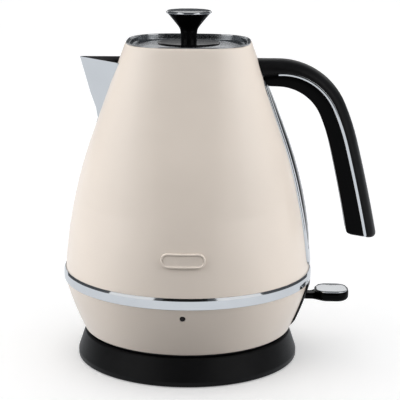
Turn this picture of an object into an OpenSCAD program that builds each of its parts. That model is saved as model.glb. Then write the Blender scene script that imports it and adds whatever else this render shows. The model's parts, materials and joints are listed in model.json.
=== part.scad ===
// Electric kettle on a round power base, in millimetres.
// Origin: on the kettle's axis at the underside of the base, +Z up, handle towards +X, spout towards -X.

/* [Body] */
// Radius of the body where it meets the trim ring
body_r = 90.1; // [86:0.1:109]
// Height of the body from the trim ring's seat to the rim
body_h = 168.8; // [150:0.1:204]
// Half width of the mouth, measured across its flat sides
mouth_w = 45.1; // [41:0.1:48]
// Thickness of the body's steel wall
body_wall = 1.2; // [0.8:0.1:1.6]
// Lean of the wall at the trim ring, in degrees
foot_angle = 3; // [0:0.5:6]
// Share of the body's height that is curved, below the straight cone
curved_share = 0.6; // [0.5:0.05:0.7]
// Squareness of the mouth, where 2 is a circle
mouth_power = 2.95; // [2.2:0.05:3.4]

/* [Skirt and trim ring] */
// Height of the painted skirt below the trim ring
skirt_h = 37.6; // [34:0.1:46]
// How far the skirt draws in from top to bottom
skirt_draw = 14; // [10:0.5:18]
// Bulge of the skirt's side beyond a straight cone
skirt_bulge = 1.1; // [0:0.1:2]
// Thickness of the skirt
skirt_wall = 2; // [1.6:0.1:2.4]
// Height of the chrome trim ring's band
ring_band = 6.6; // [5:0.1:8]
// How far the trim ring stands out from the body
ring_proud = 1.3; // [1:0.1:2]

/* [Power base] */
// Height of the power base above the table
base_h = 20; // [18:0.5:26]
// Slope of the base's side: how much wider it is at the bottom
base_flare = 5; // [2:0.5:6]
// Wall of the base housing
base_wall = 2.2; // [1.8:0.1:2.8]
// Radius of the raised centre connector
connector_r = 15; // [13:0.5:18]
// Radius of the hole for the cord in the gland
cord_hole_r = 3.6; // [3:0.1:4.5]

/* [Lid] */
// Height of the knob above the rim
knob_h = 22.2; // [18:0.1:26]
// Radius of the knob's chrome cap
knob_r = 16.4; // [13:0.1:19]
// Radius of the knob's stem
knob_stem_r = 5.7; // [5.5:0.1:8]
// Radius of the black disc under the knob
disc_r = 22.4; // [18:0.1:27]
// Depth of the lid's dish at its edge
dish_depth = 4.2; // [3:0.1:5]
// Depth of the plug below the dish
plug_h = 13; // [8:0.5:14]

/* [Spout] */
// Distance from the kettle's axis to the tip of the spout
spout_reach = 78.4; // [70:0.1:94]
// Height of the spout's front edge
spout_h = 45.3; // [36:0.1:54]
// Half width of the spout where its top edge meets the body
spout_half = 19; // [15:0.5:21]
// Thickness of the spout's sheet
spout_wall = 1.2; // [1:0.1:1.6]

/* [Handle] */
// Thickness of the handle from its outer to its inner edge
handle_t = 21.5; // [17:0.5:25]
// Width of the handle
handle_w = 26; // [22:0.5:30]
// Height of the handle from its top to its open lower end
handle_drop = 130.4; // [112:0.1:140]
// Radius of the handle's main bend along its outer edge
handle_bend_r = 53; // [48:0.5:60]
// Width of the chrome stripe
stripe_w = 2.1; // [1.5:0.1:3]

/* [Level gauge] */
// Half width of the chrome bezel
bezel_half = 20; // [18:0.5:23]
// Width of the bezel's border
bezel_border = 6.5; // [4:0.5:8]
// How far the bezel stands out from the body
bezel_proud = 1.3; // [1:0.1:2]

/* [On-off lever] */
// Radius of the lever's pivot pin
pin_r = 1.5; // [1.25:0.05:2]
// Length of the finger paddle
paddle_l = 25; // [20:0.5:30]
// Width of the finger paddle
paddle_w = 25; // [20:0.5:30]
// Travel of the lever, in degrees
lever_travel = 12; // [8:1:12]

/* [Hidden] */

$fn = 96;

// Clearances: between fixed pieces, between moving pieces, and of the running pin
fit = 0.1;
clear = 0.3;
pin_fit = 0.06;

// Columns and rows of the body's skin
columns = 56;
rows = 13;

// Heights
foot_h = 0.6;
kettle_z = base_h + clear;
cover_t = 2;
skirt_z = kettle_z + cover_t + fit;
ring_z = skirt_z + skirt_h;
shelf_t = 3;
shell_z = ring_z + shelf_t;
body_z = shell_z + 1;
rim_z = body_z + body_h;
square_z = rim_z - 0.67 * body_h;
floor_z = shell_z + 1;
floor_t = 1.2;

// Radii
skirt_top_r = body_r + 0.2;
skirt_low_r = skirt_top_r - skirt_draw;
base_top_r = skirt_low_r;
base_r = base_top_r + base_flare;

// ---- Curves of the body ----

// Drop in radius from foot to rim when the straight cone has the angle a
function cone_drop(a) = body_h * (curved_share * tan((foot_angle + a) / 2) + (1 - curved_share) * tan(a));

// Angle of the cone that leads to the mouth, found by halving
function cone_angle(low, high, turns) =
    let (mid = (low + high) / 2)
    turns == 0 ? mid
    : cone_drop(mid) < body_r - mouth_w ? cone_angle(mid, high, turns - 1)
    : cone_angle(low, mid, turns - 1);

top_angle = cone_angle(0, 60, 30);
curve_r = curved_share * body_h / (sin(top_angle) - sin(foot_angle));

// Half width of the body at height z: an arc, then a cone
function body_at(z) =
    let (up = z - body_z, arc_h = curved_share * body_h)
    up <= arc_h
    ? body_r - curve_r * (cos(foot_angle) - cos(asin(sin(foot_angle) + up / curve_r)))
    : mouth_w + (body_h - up) * tan(top_angle);

// Squareness of the body at height z
function power_at(z) = 2 + (mouth_power - 2) * max(0, z - square_z) / (rim_z - square_z);

// Rounded square with half width w
function squircle(w, power) = [
    for (i = [0:columns - 1])
    let (a = i * 360 / columns)
    [w * sign(cos(a)) * pow(abs(cos(a)), 2 / power), w * sign(sin(a)) * pow(abs(sin(a)), 2 / power)]
];

// One ring of the body's skin, stood off by d
function body_ring(z, d) = [for (p = squircle(body_at(z) + d, power_at(z))) [p[0], p[1], z]];

// X of the body's rear skin at a given y and z
function skin_x(y, z) =
    let (w = body_at(z), n = power_at(z))
    w * pow(1 - pow(abs(y) / w, n), 1 / n);

// Radius of the skirt at height z
function skirt_at(z) =
    let (s = (ring_z - z) / skirt_h)
    skirt_top_r - skirt_draw * s + 4 * skirt_bulge * s * (1 - s);

// Solid through a list of rings of points; a loop joins the last ring to the first
module loft(rings, loop = false) {
    n = len(rings[0]);
    m = len(rings);
    sides = [
        for (i = [0:(loop ? m : m - 1) - 1], j = [0:n - 1])
        let (a = i * n + j, b = i * n + (j + 1) % n, c = ((i + 1) % m) * n + (j + 1) % n)
        let (d = ((i + 1) % m) * n + j)
        each [[a, c, b], [a, d, c]]
    ];
    caps = loop ? [] : [[for (j = [0:n - 1]) j], [for (j = [n - 1:-1:0]) (m - 1) * n + j]];
    polyhedron(points = [for (r = rings) each r], faces = concat(sides, caps));
}

// Everything inside the body's skin, stood off by d
module body_solid(d) {
    low = square_z;
    steps = 8;
    loft([for (i = [0:steps]) body_ring(low + (rim_z - low) * i / steps, d)]);
}

// Places children on a circle of radius r
module around(r, count, start = 0) {
    for (i = [0:count - 1]) rotate([0, 0, start + i * 360 / count]) translate([r, 0, 0]) children();
}

// Tube along Z
module tube(outer_r, inner_r, h) {
    difference() {
        cylinder(r = outer_r, h = h);
        translate([0, 0, -1]) cylinder(r = inner_r, h = h + 2);
    }
}

// Straight-walled rounded-square ring
module squircle_ring(outer_w, inner_w, h) {
    linear_extrude(height = h) difference() {
        polygon(squircle(outer_w, mouth_power));
        polygon(squircle(inner_w, mouth_power));
    }
}

// ---- Power base ----

plate_t = 2;
screw_r = 1.2;
screw_head_r = 3.2;
screw_ring_r = 58;
boss_r = 4;
boss_hole_z = base_h - base_wall;
gland_r = 5.4;
gland_z = 10.5;
plate_r = base_r - base_wall - clear;

module base_housing() {
    color("#1b1b1c") difference() {
        union() {
            rotate_extrude() polygon([
                [base_r, foot_h], [base_r, foot_h + 3.5], [base_top_r, base_h - 1],
                [base_top_r - 1, base_h], [connector_r + fit, base_h],
                [connector_r + fit, base_h - base_wall], [base_top_r - base_wall, base_h - base_wall],
                [base_r - base_wall, foot_h + 3.5], [base_r - base_wall, foot_h]
            ]);
            around(screw_ring_r, 3, 30) translate([0, 0, foot_h + plate_t + fit])
                tube(boss_r, screw_r + 0.05, boss_hole_z - foot_h - plate_t);
        }
        translate([0, base_r, gland_z]) rotate([90, 0, 0]) cylinder(r = gland_r + fit, h = 16, center = true);
    }
}

module base_bottom_plate() {
    color("#232324") difference() {
        translate([0, 0, foot_h]) cylinder(r = plate_r, h = plate_t);
        translate([0, 0, foot_h - 0.01]) tube(foot_ring_r + fit, foot_ring_r - foot_ring_w - fit, foot_sunk);
        around(screw_ring_r, 3, 30) cylinder(r = screw_r + fit, h = 10);
        around(screw_ring_r, 3, 30) cylinder(r = screw_head_r + fit, h = foot_h + 1.1);
    }
}

foot_ring_r = 72;
foot_ring_w = 5;
foot_sunk = 1;

module base_foot_ring() {
    color("#2b2b2b") tube(foot_ring_r, foot_ring_r - foot_ring_w, foot_h + foot_sunk - 0.05);
}

module base_screws() {
    color("#8f9194") around(screw_ring_r, 3, 30) {
        translate([0, 0, foot_h + 0.2]) cylinder(r = screw_head_r, h = 0.85);
        translate([0, 0, foot_h + 1]) cylinder(r = screw_r, h = 9);
    }
}

boss_top = base_h + 13;
slot_floor = base_h - 2;
slot_rings = [5.7, 10.2];
slot_w = 2.2;
flange_t = 2.5;

// Round boss that the kettle sits over, with ring slots for its contacts
module base_connector() {
    color("#141414") difference() {
        union() {
            translate([0, 0, boss_hole_z - fit - flange_t]) cylinder(r = connector_r + 5, h = flange_t);
            translate([0, 0, boss_hole_z - fit - 0.01]) cylinder(r = connector_r, h = boss_top - boss_hole_z + fit);
        }
        for (r = slot_rings) translate([0, 0, slot_floor]) tube(r + slot_w / 2, r - slot_w / 2, 20);
        translate([0, 0, slot_floor]) cylinder(r = slot_w, h = 20);
    }
}

contact_t = 0.3;
contact_h = 4;

// Spring leaves at the bottom of the slots
module base_contacts() {
    color("#c79a4b") {
        for (r = slot_rings) translate([0, 0, slot_floor + 0.05]) rotate_extrude(angle = 70)
            translate([r - slot_w / 2 + 0.05, 0]) square([contact_t, contact_h]);
        translate([0, 0, slot_floor + 0.05]) cylinder(r = slot_w - 0.6, h = contact_h);
    }
}

gland_l = 12.5;

// Bush that the cord comes out of, at the back of the base
module cord_gland() {
    color("#161616") translate([0, base_r + 2, gland_z]) rotate([90, 0, 0]) difference() {
        union() {
            cylinder(r = gland_r, h = gland_l);
            translate([0, 0, gland_l - 2]) cylinder(r = gland_r + 1, h = 2);
        }
        translate([0, 0, -1]) cylinder(r = cord_hole_r, h = gland_l + 2);
    }
}

// ---- Turning contacts on the kettle's side ----

rings_low = slot_floor + contact_h + 1;
carrier_z = boss_top + 3;
carrier_t = 2;
carrier_r = slot_rings[1] + 2;
ring_t = 0.7;

module contact_rings() {
    color("#c79a4b") {
        for (r = slot_rings) translate([0, 0, rings_low])
            tube(r + ring_t / 2, r - ring_t / 2, carrier_z - rings_low);
        translate([0, 0, rings_low]) cylinder(r = 1.4, h = carrier_z - rings_low);
    }
}

module contact_carrier() {
    color("#3a3a3a") translate([0, 0, carrier_z]) cylinder(r = carrier_r, h = carrier_t);
}

// ---- Underside of the kettle ----

socket_in_r = connector_r + 0.6;
socket_out_r = socket_in_r + 4.5;
socket_top = carrier_z + carrier_t + clear + 2;

module connector_socket() {
    color("#2a2a2b") difference() {
        translate([0, 0, kettle_z + 0.4]) cylinder(r = socket_out_r, h = socket_top - kettle_z - 0.4);
        translate([0, 0, kettle_z - 1]) cylinder(r = socket_in_r, h = socket_top - 2 - kettle_z + 1);
    }
}

cover_r = skirt_low_r - 1.4;
lip_in_r = skirt_low_r - 4.4;

module bottom_cover() {
    color("#1b1b1c") difference() {
        rotate_extrude() polygon([
            [socket_out_r + clear, kettle_z], [cover_r - 1.6, kettle_z], [cover_r, kettle_z + 1.2],
            [cover_r, kettle_z + cover_t], [lip_in_r - fit, kettle_z + cover_t],
            [lip_in_r - fit, kettle_z + cover_t + 3.6], [lip_in_r - 2, kettle_z + cover_t + 3.6],
            [lip_in_r - 2, kettle_z + cover_t], [socket_out_r + clear, kettle_z + cover_t]
        ]);
        around(screw_ring_r, 3, 60) translate([0, 0, kettle_z - 1]) cylinder(r = screw_r + fit, h = 10);
        around(screw_ring_r, 3, 60) translate([0, 0, kettle_z - 1]) cylinder(r = screw_head_r + fit, h = 2.1);
    }
}

module bottom_screws() {
    color("#8f9194") around(screw_ring_r, 3, 60) {
        translate([0, 0, kettle_z + 0.2]) cylinder(r = screw_head_r, h = 0.9);
        translate([0, 0, kettle_z + 1]) cylinder(r = screw_r, h = 13);
    }
}

// Place of the lever's pivot, size of its arm, and the slot it passes through
pivot_z = ring_z - 15;
pivot_x = skirt_at(pivot_z) - 11.5;
hub_r = 4;
arm_half = 5;
arm_h = 4.6;
slot_half = arm_half + 1.5;
slot_up = 3.2;
slot_reach = 15.5;
slot_down = arm_h / 2 + slot_reach * sin(lever_travel) + clear;

// Slot for the lever's arm through the rear wall
module lever_slot() {
    translate([pivot_x + 4, -slot_half, pivot_z - slot_down])
        cube([40, 2 * slot_half, slot_up + slot_down]);
}

lamp_z = ring_z - 7.1;
lens_r = 1.9;
lamp_r = 3.4;

module skirt() {
    steps = 8;
    color("#e4dbd0") difference() {
        rotate_extrude() polygon(concat(
            [for (i = [0:steps]) let (z = skirt_z + skirt_h * i / steps) [skirt_at(z), z]],
            [for (i = [steps:-1:1]) let (z = skirt_z + skirt_h * i / steps) [skirt_at(z) - skirt_wall, z]],
            [[lip_in_r, skirt_z + skirt_h / steps], [lip_in_r, skirt_z]]
        ));
        lever_slot();
        translate([0, -body_r, lamp_z]) rotate([90, 0, 0]) cylinder(r = lens_r + fit, h = 30, center = true);
    }
}

module trim_ring() {
    inner = body_r + fit + 0.1;
    outer = body_r + ring_proud;
    top = ring_z + ring_band;
    color("#c9ccd0") rotate_extrude() polygon([
        [body_r - 4, ring_z], [outer - 0.3, ring_z], [outer, ring_z + 0.4], [outer, top],
        [inner + 0.1, top + 1.7], [inner, top + 1.7], [inner, shell_z - fit], [body_r - 4, shell_z - fit]
    ]);
}

chassis_z = ring_z - 7;
chassis_t = 2;
chassis_in_r = 52;
ear_gap = 8;
ear_t = 2.5;

// Carrier ring inside the skirt with screw bosses and the ears that hold the lever's pin
module chassis() {
    color("#38383a") {
        difference() {
            union() {
                translate([0, 0, chassis_z])
                    tube(skirt_at(chassis_z) - skirt_wall - clear, chassis_in_r, chassis_t);
                around(screw_ring_r, 3, 60) translate([0, 0, kettle_z + cover_t + fit])
                    cylinder(r = boss_r, h = chassis_z - kettle_z - cover_t);
                for (side = [-1, 1])
                    translate([pivot_x - 4, side * (ear_gap + ear_t / 2) - ear_t / 2, pivot_z - 4])
                        cube([8, ear_t, chassis_z - pivot_z + 4.5]);
            }
            around(screw_ring_r, 3, 60) translate([0, 0, kettle_z]) cylinder(r = screw_r + 0.05, h = 20);
            translate([-lamp_r - 1, -body_r, chassis_z - 1]) cube([2 * lamp_r + 2, 30, chassis_t + 2]);
            translate([pivot_x, 0, pivot_z]) rotate([90, 0, 0])
                cylinder(r = pin_r + 0.02, h = 40, center = true);
        }
    }
}

// ---- Heating and control ----

spreader_r = 42;
spreader_t = 2.5;
spreader_z = floor_z - spreader_t - fit;
element_r = 34;
element_tube_r = 3.3;

module floor_plate() {
    plate_r = (body_at(floor_z) - body_wall) * cos(180 / columns) - fit;
    color("#b9bcc0") difference() {
        union() {
            translate([0, 0, floor_z]) cylinder(r = plate_r, h = floor_t);
            translate([0, 0, shell_z]) tube(plate_r, plate_r - 1.2, 1.1);
        }
        steam_path(steam_r + fit, 20);
    }
}

module heat_spreader() {
    color("#a9acb0") translate([0, 0, spreader_z]) cylinder(r = spreader_r, h = spreader_t);
}

module heating_element() {
    tube_z = spreader_z - element_tube_r - fit;
    color("#6f7276") {
        translate([0, 0, tube_z]) rotate([0, 0, 200]) rotate_extrude(angle = 320)
            translate([element_r, 0]) circle(r = element_tube_r, $fn = 32);
        for (a = [200, 160]) rotate([0, 0, a]) translate([element_r, 0, tube_z - 12])
            cylinder(r = 1.6, h = 12, $fn = 32);
    }
}

control_z = socket_top + clear;
control_r = 23;
toggle_x = 46;

// Thermal control above the socket, with a forked bracket for the toggle
module control_housing() {
    top = spreader_z - 4;
    color("#d8d4c8") difference() {
        union() {
            translate([0, 0, control_z]) cylinder(r = control_r, h = top - control_z);
            for (side = [-1, 1]) translate([control_r - 2, side * 7 - 1.5, pivot_z - 4])
                cube([toggle_x - control_r + 6, 3, 8]);
        }
        translate([toggle_x, 0, pivot_z]) rotate([90, 0, 0]) cylinder(r = pin_r + 0.02, h = 40, center = true);
    }
}

module bimetal_discs() {
    color("#b08d57") for (side = [-1, 1])
        translate([0, side * 12, spreader_z - 3.8]) cylinder(r = 8, h = 1.2);
}

module toggle_pin() {
    color("#8f9194") translate([toggle_x, 0, pivot_z]) rotate([90, 0, 0]) cylinder(r = pin_r, h = 17, center = true);
}

module control_toggle() {
    color("#d9d9d6") difference() {
        union() {
            translate([toggle_x, 0, pivot_z]) rotate([90, 0, 0]) cylinder(r = 3.5, h = 10, center = true);
            translate([toggle_x, -4, pivot_z - 1.5]) cube([(pivot_x - toggle_x) / 2 - 0.5, 8, 3]);
        }
        translate([toggle_x, 0, pivot_z]) rotate([90, 0, 0]) cylinder(r = pin_r + pin_fit, h = 40, center = true);
    }
}

steam_r = 4;
steam_turn = 40;
steam_low_r = body_at(floor_z) - 15;
steam_high_r = body_at(rim_z - 25) - 5;

// Straight leaning line along the inside of the wall, as a cylinder of radius r
module steam_path(r, extra = 0) {
    high_z = rim_z - 25;
    low_z = floor_z - 6;
    run = steam_low_r - steam_high_r;
    lean = atan(run / (high_z - low_z));
    rotate([0, 0, steam_turn]) translate([steam_low_r, 0, low_z]) rotate([0, -lean, 0])
        translate([0, 0, -extra]) cylinder(r = r, h = (high_z - low_z) / cos(lean) + 2 * extra, $fn = 48);
}

module steam_tube() {
    color("#c4c7ca") difference() {
        steam_path(steam_r);
        steam_path(steam_r - 0.8, 5);
    }
}

// ---- Body, rim and spout ----

spout_top = rim_z - 11.5;
spout_low = spout_top - spout_h;
spout_foot_x = body_at(spout_low);
spout_slope = spout_half / (spout_reach - body_at(spout_top));
spout_inset = spout_wall * sqrt(1 + 1 / (spout_slope * spout_slope));

// Distance of the spout's sharp front edge from the axis at height z
function spout_edge(z) = spout_reach - (spout_reach - spout_foot_x) * (spout_top - z) / spout_h;

// V-shaped wedge between two heights, drawn back by inset, reaching in to the distance from_x
module spout_wedge(inset, low, high, from_x) {
    loft([for (z = [low, high])
        let (edge = spout_edge(z) - inset, half = spout_slope * (edge - from_x))
        [[-edge, 0, z], [-from_x, -half, z], [-from_x, half, z]]]);
}

module spout() {
    color("#c9ccd0") difference() {
        spout_wedge(0, spout_low - 3, spout_top, body_at(spout_top) - 8);
        spout_wedge(spout_inset, spout_low - 8, spout_top + 3, body_at(spout_top) - 12);
        body_solid(fit);
    }
}

gauge_low = ring_z + ring_band + 4.2;
gauge_high = rim_z - 23.8;
gauge_slot_half = 6;
gauge_slot_low = gauge_low + 20;
gauge_slot_high = gauge_high - 14;

module body_shell() {
    heights = [for (i = [0:rows]) shell_z + (rim_z - shell_z) * i / rows];
    color("#e9e1d6") difference() {
        loft(concat(
            [for (z = heights) body_ring(z, 0)],
            [for (i = [rows:-1:0]) body_ring(heights[i], -body_wall)]
        ), loop = true);
        spout_wedge(spout_inset + 3, spout_low + 10, spout_top - 4, body_at(spout_top) - 14);
        translate([30, -gauge_slot_half, gauge_slot_low])
            cube([80, 2 * gauge_slot_half, gauge_slot_high - gauge_slot_low]);
        handle_screw_lines(handle_screw_r + fit);
    }
}

lip_t = 0.8;
sleeve_t = 1;
dish_w = mouth_w - body_wall - fit - sleeve_t - clear;
dish_t = 1;
dish_z = rim_z + lip_t - dish_depth - dish_t - 0.4;
seal_t = 1;
ledge_t = 1;
ledge_z = dish_z - seal_t - clear - ledge_t;
ledge_in = dish_w - 2.2;

// Chrome lip and sleeve that line the mouth and carry the lid
module rim_ring() {
    outer = mouth_w - body_wall - fit;
    color("#c9ccd0") {
        translate([0, 0, rim_z + fit]) squircle_ring(mouth_w - 0.2, outer - sleeve_t, lip_t - fit);
        translate([0, 0, ledge_z + ledge_t]) squircle_ring(outer, outer - sleeve_t, rim_z + fit - ledge_z - ledge_t);
        translate([0, 0, ledge_z]) squircle_ring(outer, ledge_in, ledge_t);
    }
}

// ---- Lid ----

dome_r = 36;
dome_z = rim_z - 1.4;
dome_t = 1;
plug_w = ledge_in - 0.5;
disc_t = 1.2;
knob_z = dome_z + disc_t;
cap_t = 2.2;
knob_top = rim_z + knob_h - cap_t;

module lid_dish() {
    color("#c9ccd0") {
        translate([0, 0, dish_z]) linear_extrude(height = dish_t) difference() {
            polygon(squircle(dish_w, mouth_power));
            circle(r = dome_r - 1);
        }
        translate([0, 0, dish_z + dish_t]) squircle_ring(dish_w, dish_w - 0.9, dish_depth - 0.2);
        rotate_extrude() polygon([
            [dome_r - 1, dish_z], [dome_r, dish_z], [dome_r, dish_z + dish_t], [disc_r + 1, dome_z],
            [2, dome_z], [2, dome_z - dome_t], [disc_r, dome_z - dome_t]
        ]);
    }
}

liner_t = 1.4;

module lid_liner() {
    color("#b9bcc0") translate([0, 0, dish_z - fit - plug_h]) difference() {
        linear_extrude(height = plug_h) polygon(squircle(plug_w, mouth_power));
        translate([0, 0, liner_t]) linear_extrude(height = plug_h) polygon(squircle(plug_w - liner_t, mouth_power));
    }
}

module lid_seal() {
    color("#d7d5cf") translate([0, 0, dish_z - seal_t - 0.02])
        squircle_ring(dish_w - 0.2, plug_w + fit, seal_t - 0.02);
}

module knob_disc() {
    color("#151515") translate([0, 0, dome_z + 0.02]) rotate_extrude() polygon([
        [2, 0], [disc_r, 0], [disc_r, disc_t - 0.7], [disc_r - 0.6, disc_t - 0.05], [2, disc_t - 0.05]
    ]);
}

// Radius of the knob at a share s of its height: a stem that turns at its waist into a trumpet
waist = 0.46;
waist_round = 0.0093;
function trumpet(s) = sqrt(pow(s - waist, 2) + waist_round) + s - waist;
function knob_at(s) = knob_stem_r + (knob_r - 1.2 - knob_stem_r) * trumpet(s) / trumpet(1);

module knob() {
    steps = 16;
    h = knob_top - knob_z;
    color("#111111") difference() {
        rotate_extrude() polygon(concat(
            [[0, knob_z]], [for (i = [0:steps]) [knob_at(i / steps), knob_z + h * i / steps]], [[0, knob_top]]
        ));
        translate([0, 0, knob_z - 1]) cylinder(r = screw_r + 0.05, h = 11);
    }
}

module knob_cap() {
    color("#c9ccd0") rotate_extrude() polygon([
        [0, knob_top + 0.02], [knob_r - 0.6, knob_top + 0.02], [knob_r, knob_top + 0.7],
        [knob_r - 0.8, knob_top + cap_t], [0, knob_top + cap_t]
    ]);
}

module knob_screw() {
    color("#8f9194") {
        translate([0, 0, dome_z - dome_t - 1.6]) cylinder(r = screw_head_r, h = 1.5);
        translate([0, 0, dome_z - dome_t - 0.2]) cylinder(r = screw_r, h = 9);
    }
}

// ---- Handle ----

handle_top = rim_z - 11.6;
handle_end = handle_top - handle_drop;
handle_half = handle_w / 2;
root_gap = 0.2;
root_thin = 3;
end_rise = 3.8;
stripe_root = 10.9;
stripe_end = 8.5;
stripe_settle = 60;
stripe_deep = 1;
handle_screw_r = 1.6;

// A station on the handle's outer edge is [x, z, heading below level, distance along the edge]
function advance(s, l, turn) =
    let (chord = turn == 0 ? l : l * sin(turn / 2) / (turn * PI / 360), mid = s[2] + turn / 2)
    [s[0] + chord * cos(mid), s[1] - chord * sin(mid), s[2] + turn, s[3] + l];
function bend(s, l, turn, steps) = [for (k = [1:steps]) advance(s, l * k / steps, turn * k / steps)];
function last(v) = v[len(v) - 1];

// Level root, main bend, slack bend and a nearly straight grip
root_s = [body_at(handle_top) + root_gap, handle_top, 0, 0];
level_s = bend(root_s, 15, 0, 1);
main_s = bend(last(level_s), handle_bend_r * 66 * PI / 180, 66, 12);
slack_s = bend(last(main_s), 30, 9.5, 3);
grip_l = (last(slack_s)[1] - handle_end) / sin(77.2);
grip_s = bend(last(slack_s), grip_l, 3.3, 6);
handle_path = concat([root_s], level_s, main_s, slack_s, grip_s);
handle_l = last(handle_path)[3];

// Depth of the handle at station i, a little less at the root
function depth_at(i) = handle_t - root_thin * (1 - handle_path[i][3] / handle_l);

// Depth of the stripe's middle below the outer edge
function stripe_at(i) =
    stripe_end + (stripe_root - stripe_end) * pow(max(0, 1 - handle_path[i][3] / stripe_settle), 2);

// Point at station i and depth u: the root follows the body stood off by gap, the end is cut aslant
function handle_point(i, u, gap = root_gap) =
    let (s = handle_path[i], x = s[0] - u * sin(s[2]), z = s[1] - u * cos(s[2]))
    let (low = handle_end + end_rise * u / handle_t)
    i == 0 ? [body_at(handle_top - u) + gap, handle_top - u]
    : i == len(handle_path) - 1 ? [x + (z - low) / tan(s[2]), low]
    : [x, z];

// Section of the rail at station i: a rounded back, and a step at each side for the stripe
function rail_section(i) =
    let (d = stripe_at(i), e = d - stripe_w / 2 - 0.1, w = handle_half, v = w - stripe_deep, round_u = 6.8)
    concat(
        [[d - 0.05, -v], [e, -v], [e, -w]],
        [for (a = [0:15:180]) [round_u * (1 - sin(a)), -w * cos(a)]],
        [[e, w], [e, v], [d - 0.05, v]]
    );

// Section of the web at station i: steps for the stripes, then straight sides
function web_section(i) =
    let (d = stripe_at(i), e = d + stripe_w / 2 + 0.1, t = depth_at(i), w = handle_half, v = w - stripe_deep)
    [[d + 0.05, v], [e, v], [e, w], [t, w], [t, -w], [e, -w], [e, -v], [d + 0.05, -v]];

// Solid along the handle through a list of sections, one for each station
module along_handle(sections, gap) {
    loft([for (i = [0:len(handle_path) - 1])
        [for (p = sections[i]) let (e = handle_point(i, p[0], gap)) [e[0], p[1], e[1]]]]);
}

module handle_rail() {
    color("#141414") difference() {
        along_handle([for (i = [0:len(handle_path) - 1]) rail_section(i)], root_gap);
        handle_screw_lines(handle_screw_r - 0.1);
    }
}

module handle_web() {
    color("#0d0d0d") difference() {
        along_handle([for (i = [0:len(handle_path) - 1]) web_section(i)], bezel_proud + root_gap);
        handle_screw_lines(handle_screw_r - 0.1);
    }
}

// Band along the handle under the stripe, from the main bend to the end
function stripe_band() = concat(
    [for (i = [1:len(handle_path) - 1]) handle_point(i, stripe_at(i) - stripe_w / 2)],
    [for (i = [len(handle_path) - 1:-1:1]) handle_point(i, stripe_at(i) + stripe_w / 2)]
);

// Extrudes an outline drawn in X and Z from y = low to y = high
module across(low, high) {
    translate([0, high, 0]) rotate([90, 0, 0]) linear_extrude(height = high - low) children();
}

module handle_stripes() {
    v = handle_half - stripe_deep;
    color("#d0d3d6") {
        across(v + 0.05, handle_half) polygon(stripe_band());
        across(-handle_half, -v - 0.05) polygon(stripe_band());
    }
}

bracket_t = 2;
handle_screw_l = 13;
screw_zs = [handle_top - 15.6, handle_top - 8.2];

// Places children at the inner face of the wall, X pointing out square to the wall
module at_wall(z) {
    translate([body_at(z) - body_wall, 0, z]) rotate([0, -top_angle, 0]) children();
}

module handle_screw_lines(r) {
    for (z = screw_zs) at_wall(z) translate([-6, 0, 0]) rotate([0, 90, 0])
        cylinder(r = r, h = handle_screw_l + 7, $fn = 32);
}

module handle_bracket() {
    mid = (screw_zs[0] + screw_zs[1]) / 2;
    color("#8f9194") difference() {
        at_wall(mid) translate([-bracket_t - 0.9, -9, -9]) cube([bracket_t, 18, 18]);
        handle_screw_lines(handle_screw_r + fit);
    }
}

module handle_screws() {
    color("#8f9194") for (z = screw_zs) at_wall(z) rotate([0, 90, 0]) {
        translate([0, 0, -bracket_t - 3]) cylinder(r = 3, h = 2, $fn = 48);
        translate([0, 0, -bracket_t - 2]) cylinder(r = handle_screw_r - 0.15, h = handle_screw_l, $fn = 32);
    }
}

// ---- Level gauge ----

// Stations round a rounded rectangle in y and z: half width, low, high and corner radius
function frame_line(half, low, high, r) =
    let (up = 9, over = 5, corner = 3, tall = high - low - 2 * r, wide = 2 * (half - r))
    concat(
        [for (k = [0:up - 1]) [half, low + r + tall * k / up]],
        [for (k = [0:corner]) [half - r + r * cos(90 * k / corner), high - r + r * sin(90 * k / corner)]],
        [for (k = [1:over - 1]) [half - r - wide * k / over, high]],
        [for (k = [0:corner]) [r - half - r * sin(90 * k / corner), high - r + r * cos(90 * k / corner)]],
        [for (k = [1:up - 1]) [-half, high - r - tall * k / up]],
        [for (k = [0:corner]) [r - half - r * cos(90 * k / corner), low + r - r * sin(90 * k / corner)]],
        [for (k = [1:over - 1]) [r - half + wide * k / over, low]],
        [for (k = [0:corner - 1]) [half - r + r * sin(90 * k / corner), low + r - r * cos(90 * k / corner)]]
    );

// Frame that follows the rear skin, between two lines and two heights above the skin
module skin_frame(outer, inner, under, over) {
    loft([for (i = [0:len(outer) - 1]) [
        [skin_x(outer[i][0], outer[i][1]) + under, outer[i][0], outer[i][1]],
        [skin_x(outer[i][0], outer[i][1]) + over, outer[i][0], outer[i][1]],
        [skin_x(inner[i][0], inner[i][1]) + over, inner[i][0], inner[i][1]],
        [skin_x(inner[i][0], inner[i][1]) + under, inner[i][0], inner[i][1]]
    ]], loop = true);
}

skin_gap = 0.25;
window_half = bezel_half - bezel_border;
window_bulge = 1.4;
window_low = gauge_low + 13;
window_high = gauge_high - 6;
seal_h = 0.3;

module gauge_bezel() {
    color("#c9ccd0") difference() {
        skin_frame(
            frame_line(bezel_half, gauge_low, gauge_high, 11),
            frame_line(window_half, window_low, window_high, 0.6), skin_gap, bezel_proud);
        handle_screw_lines(handle_screw_r + fit);
    }
}

module gauge_seal() {
    color("#5a5a5a") skin_frame(
        frame_line(window_half - 3, gauge_slot_low - 4, gauge_slot_high + 4, 3),
        frame_line(gauge_slot_half + 0.5, gauge_slot_low - 1, gauge_slot_high + 1, 2), skin_gap, skin_gap + seal_h);
}

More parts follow.
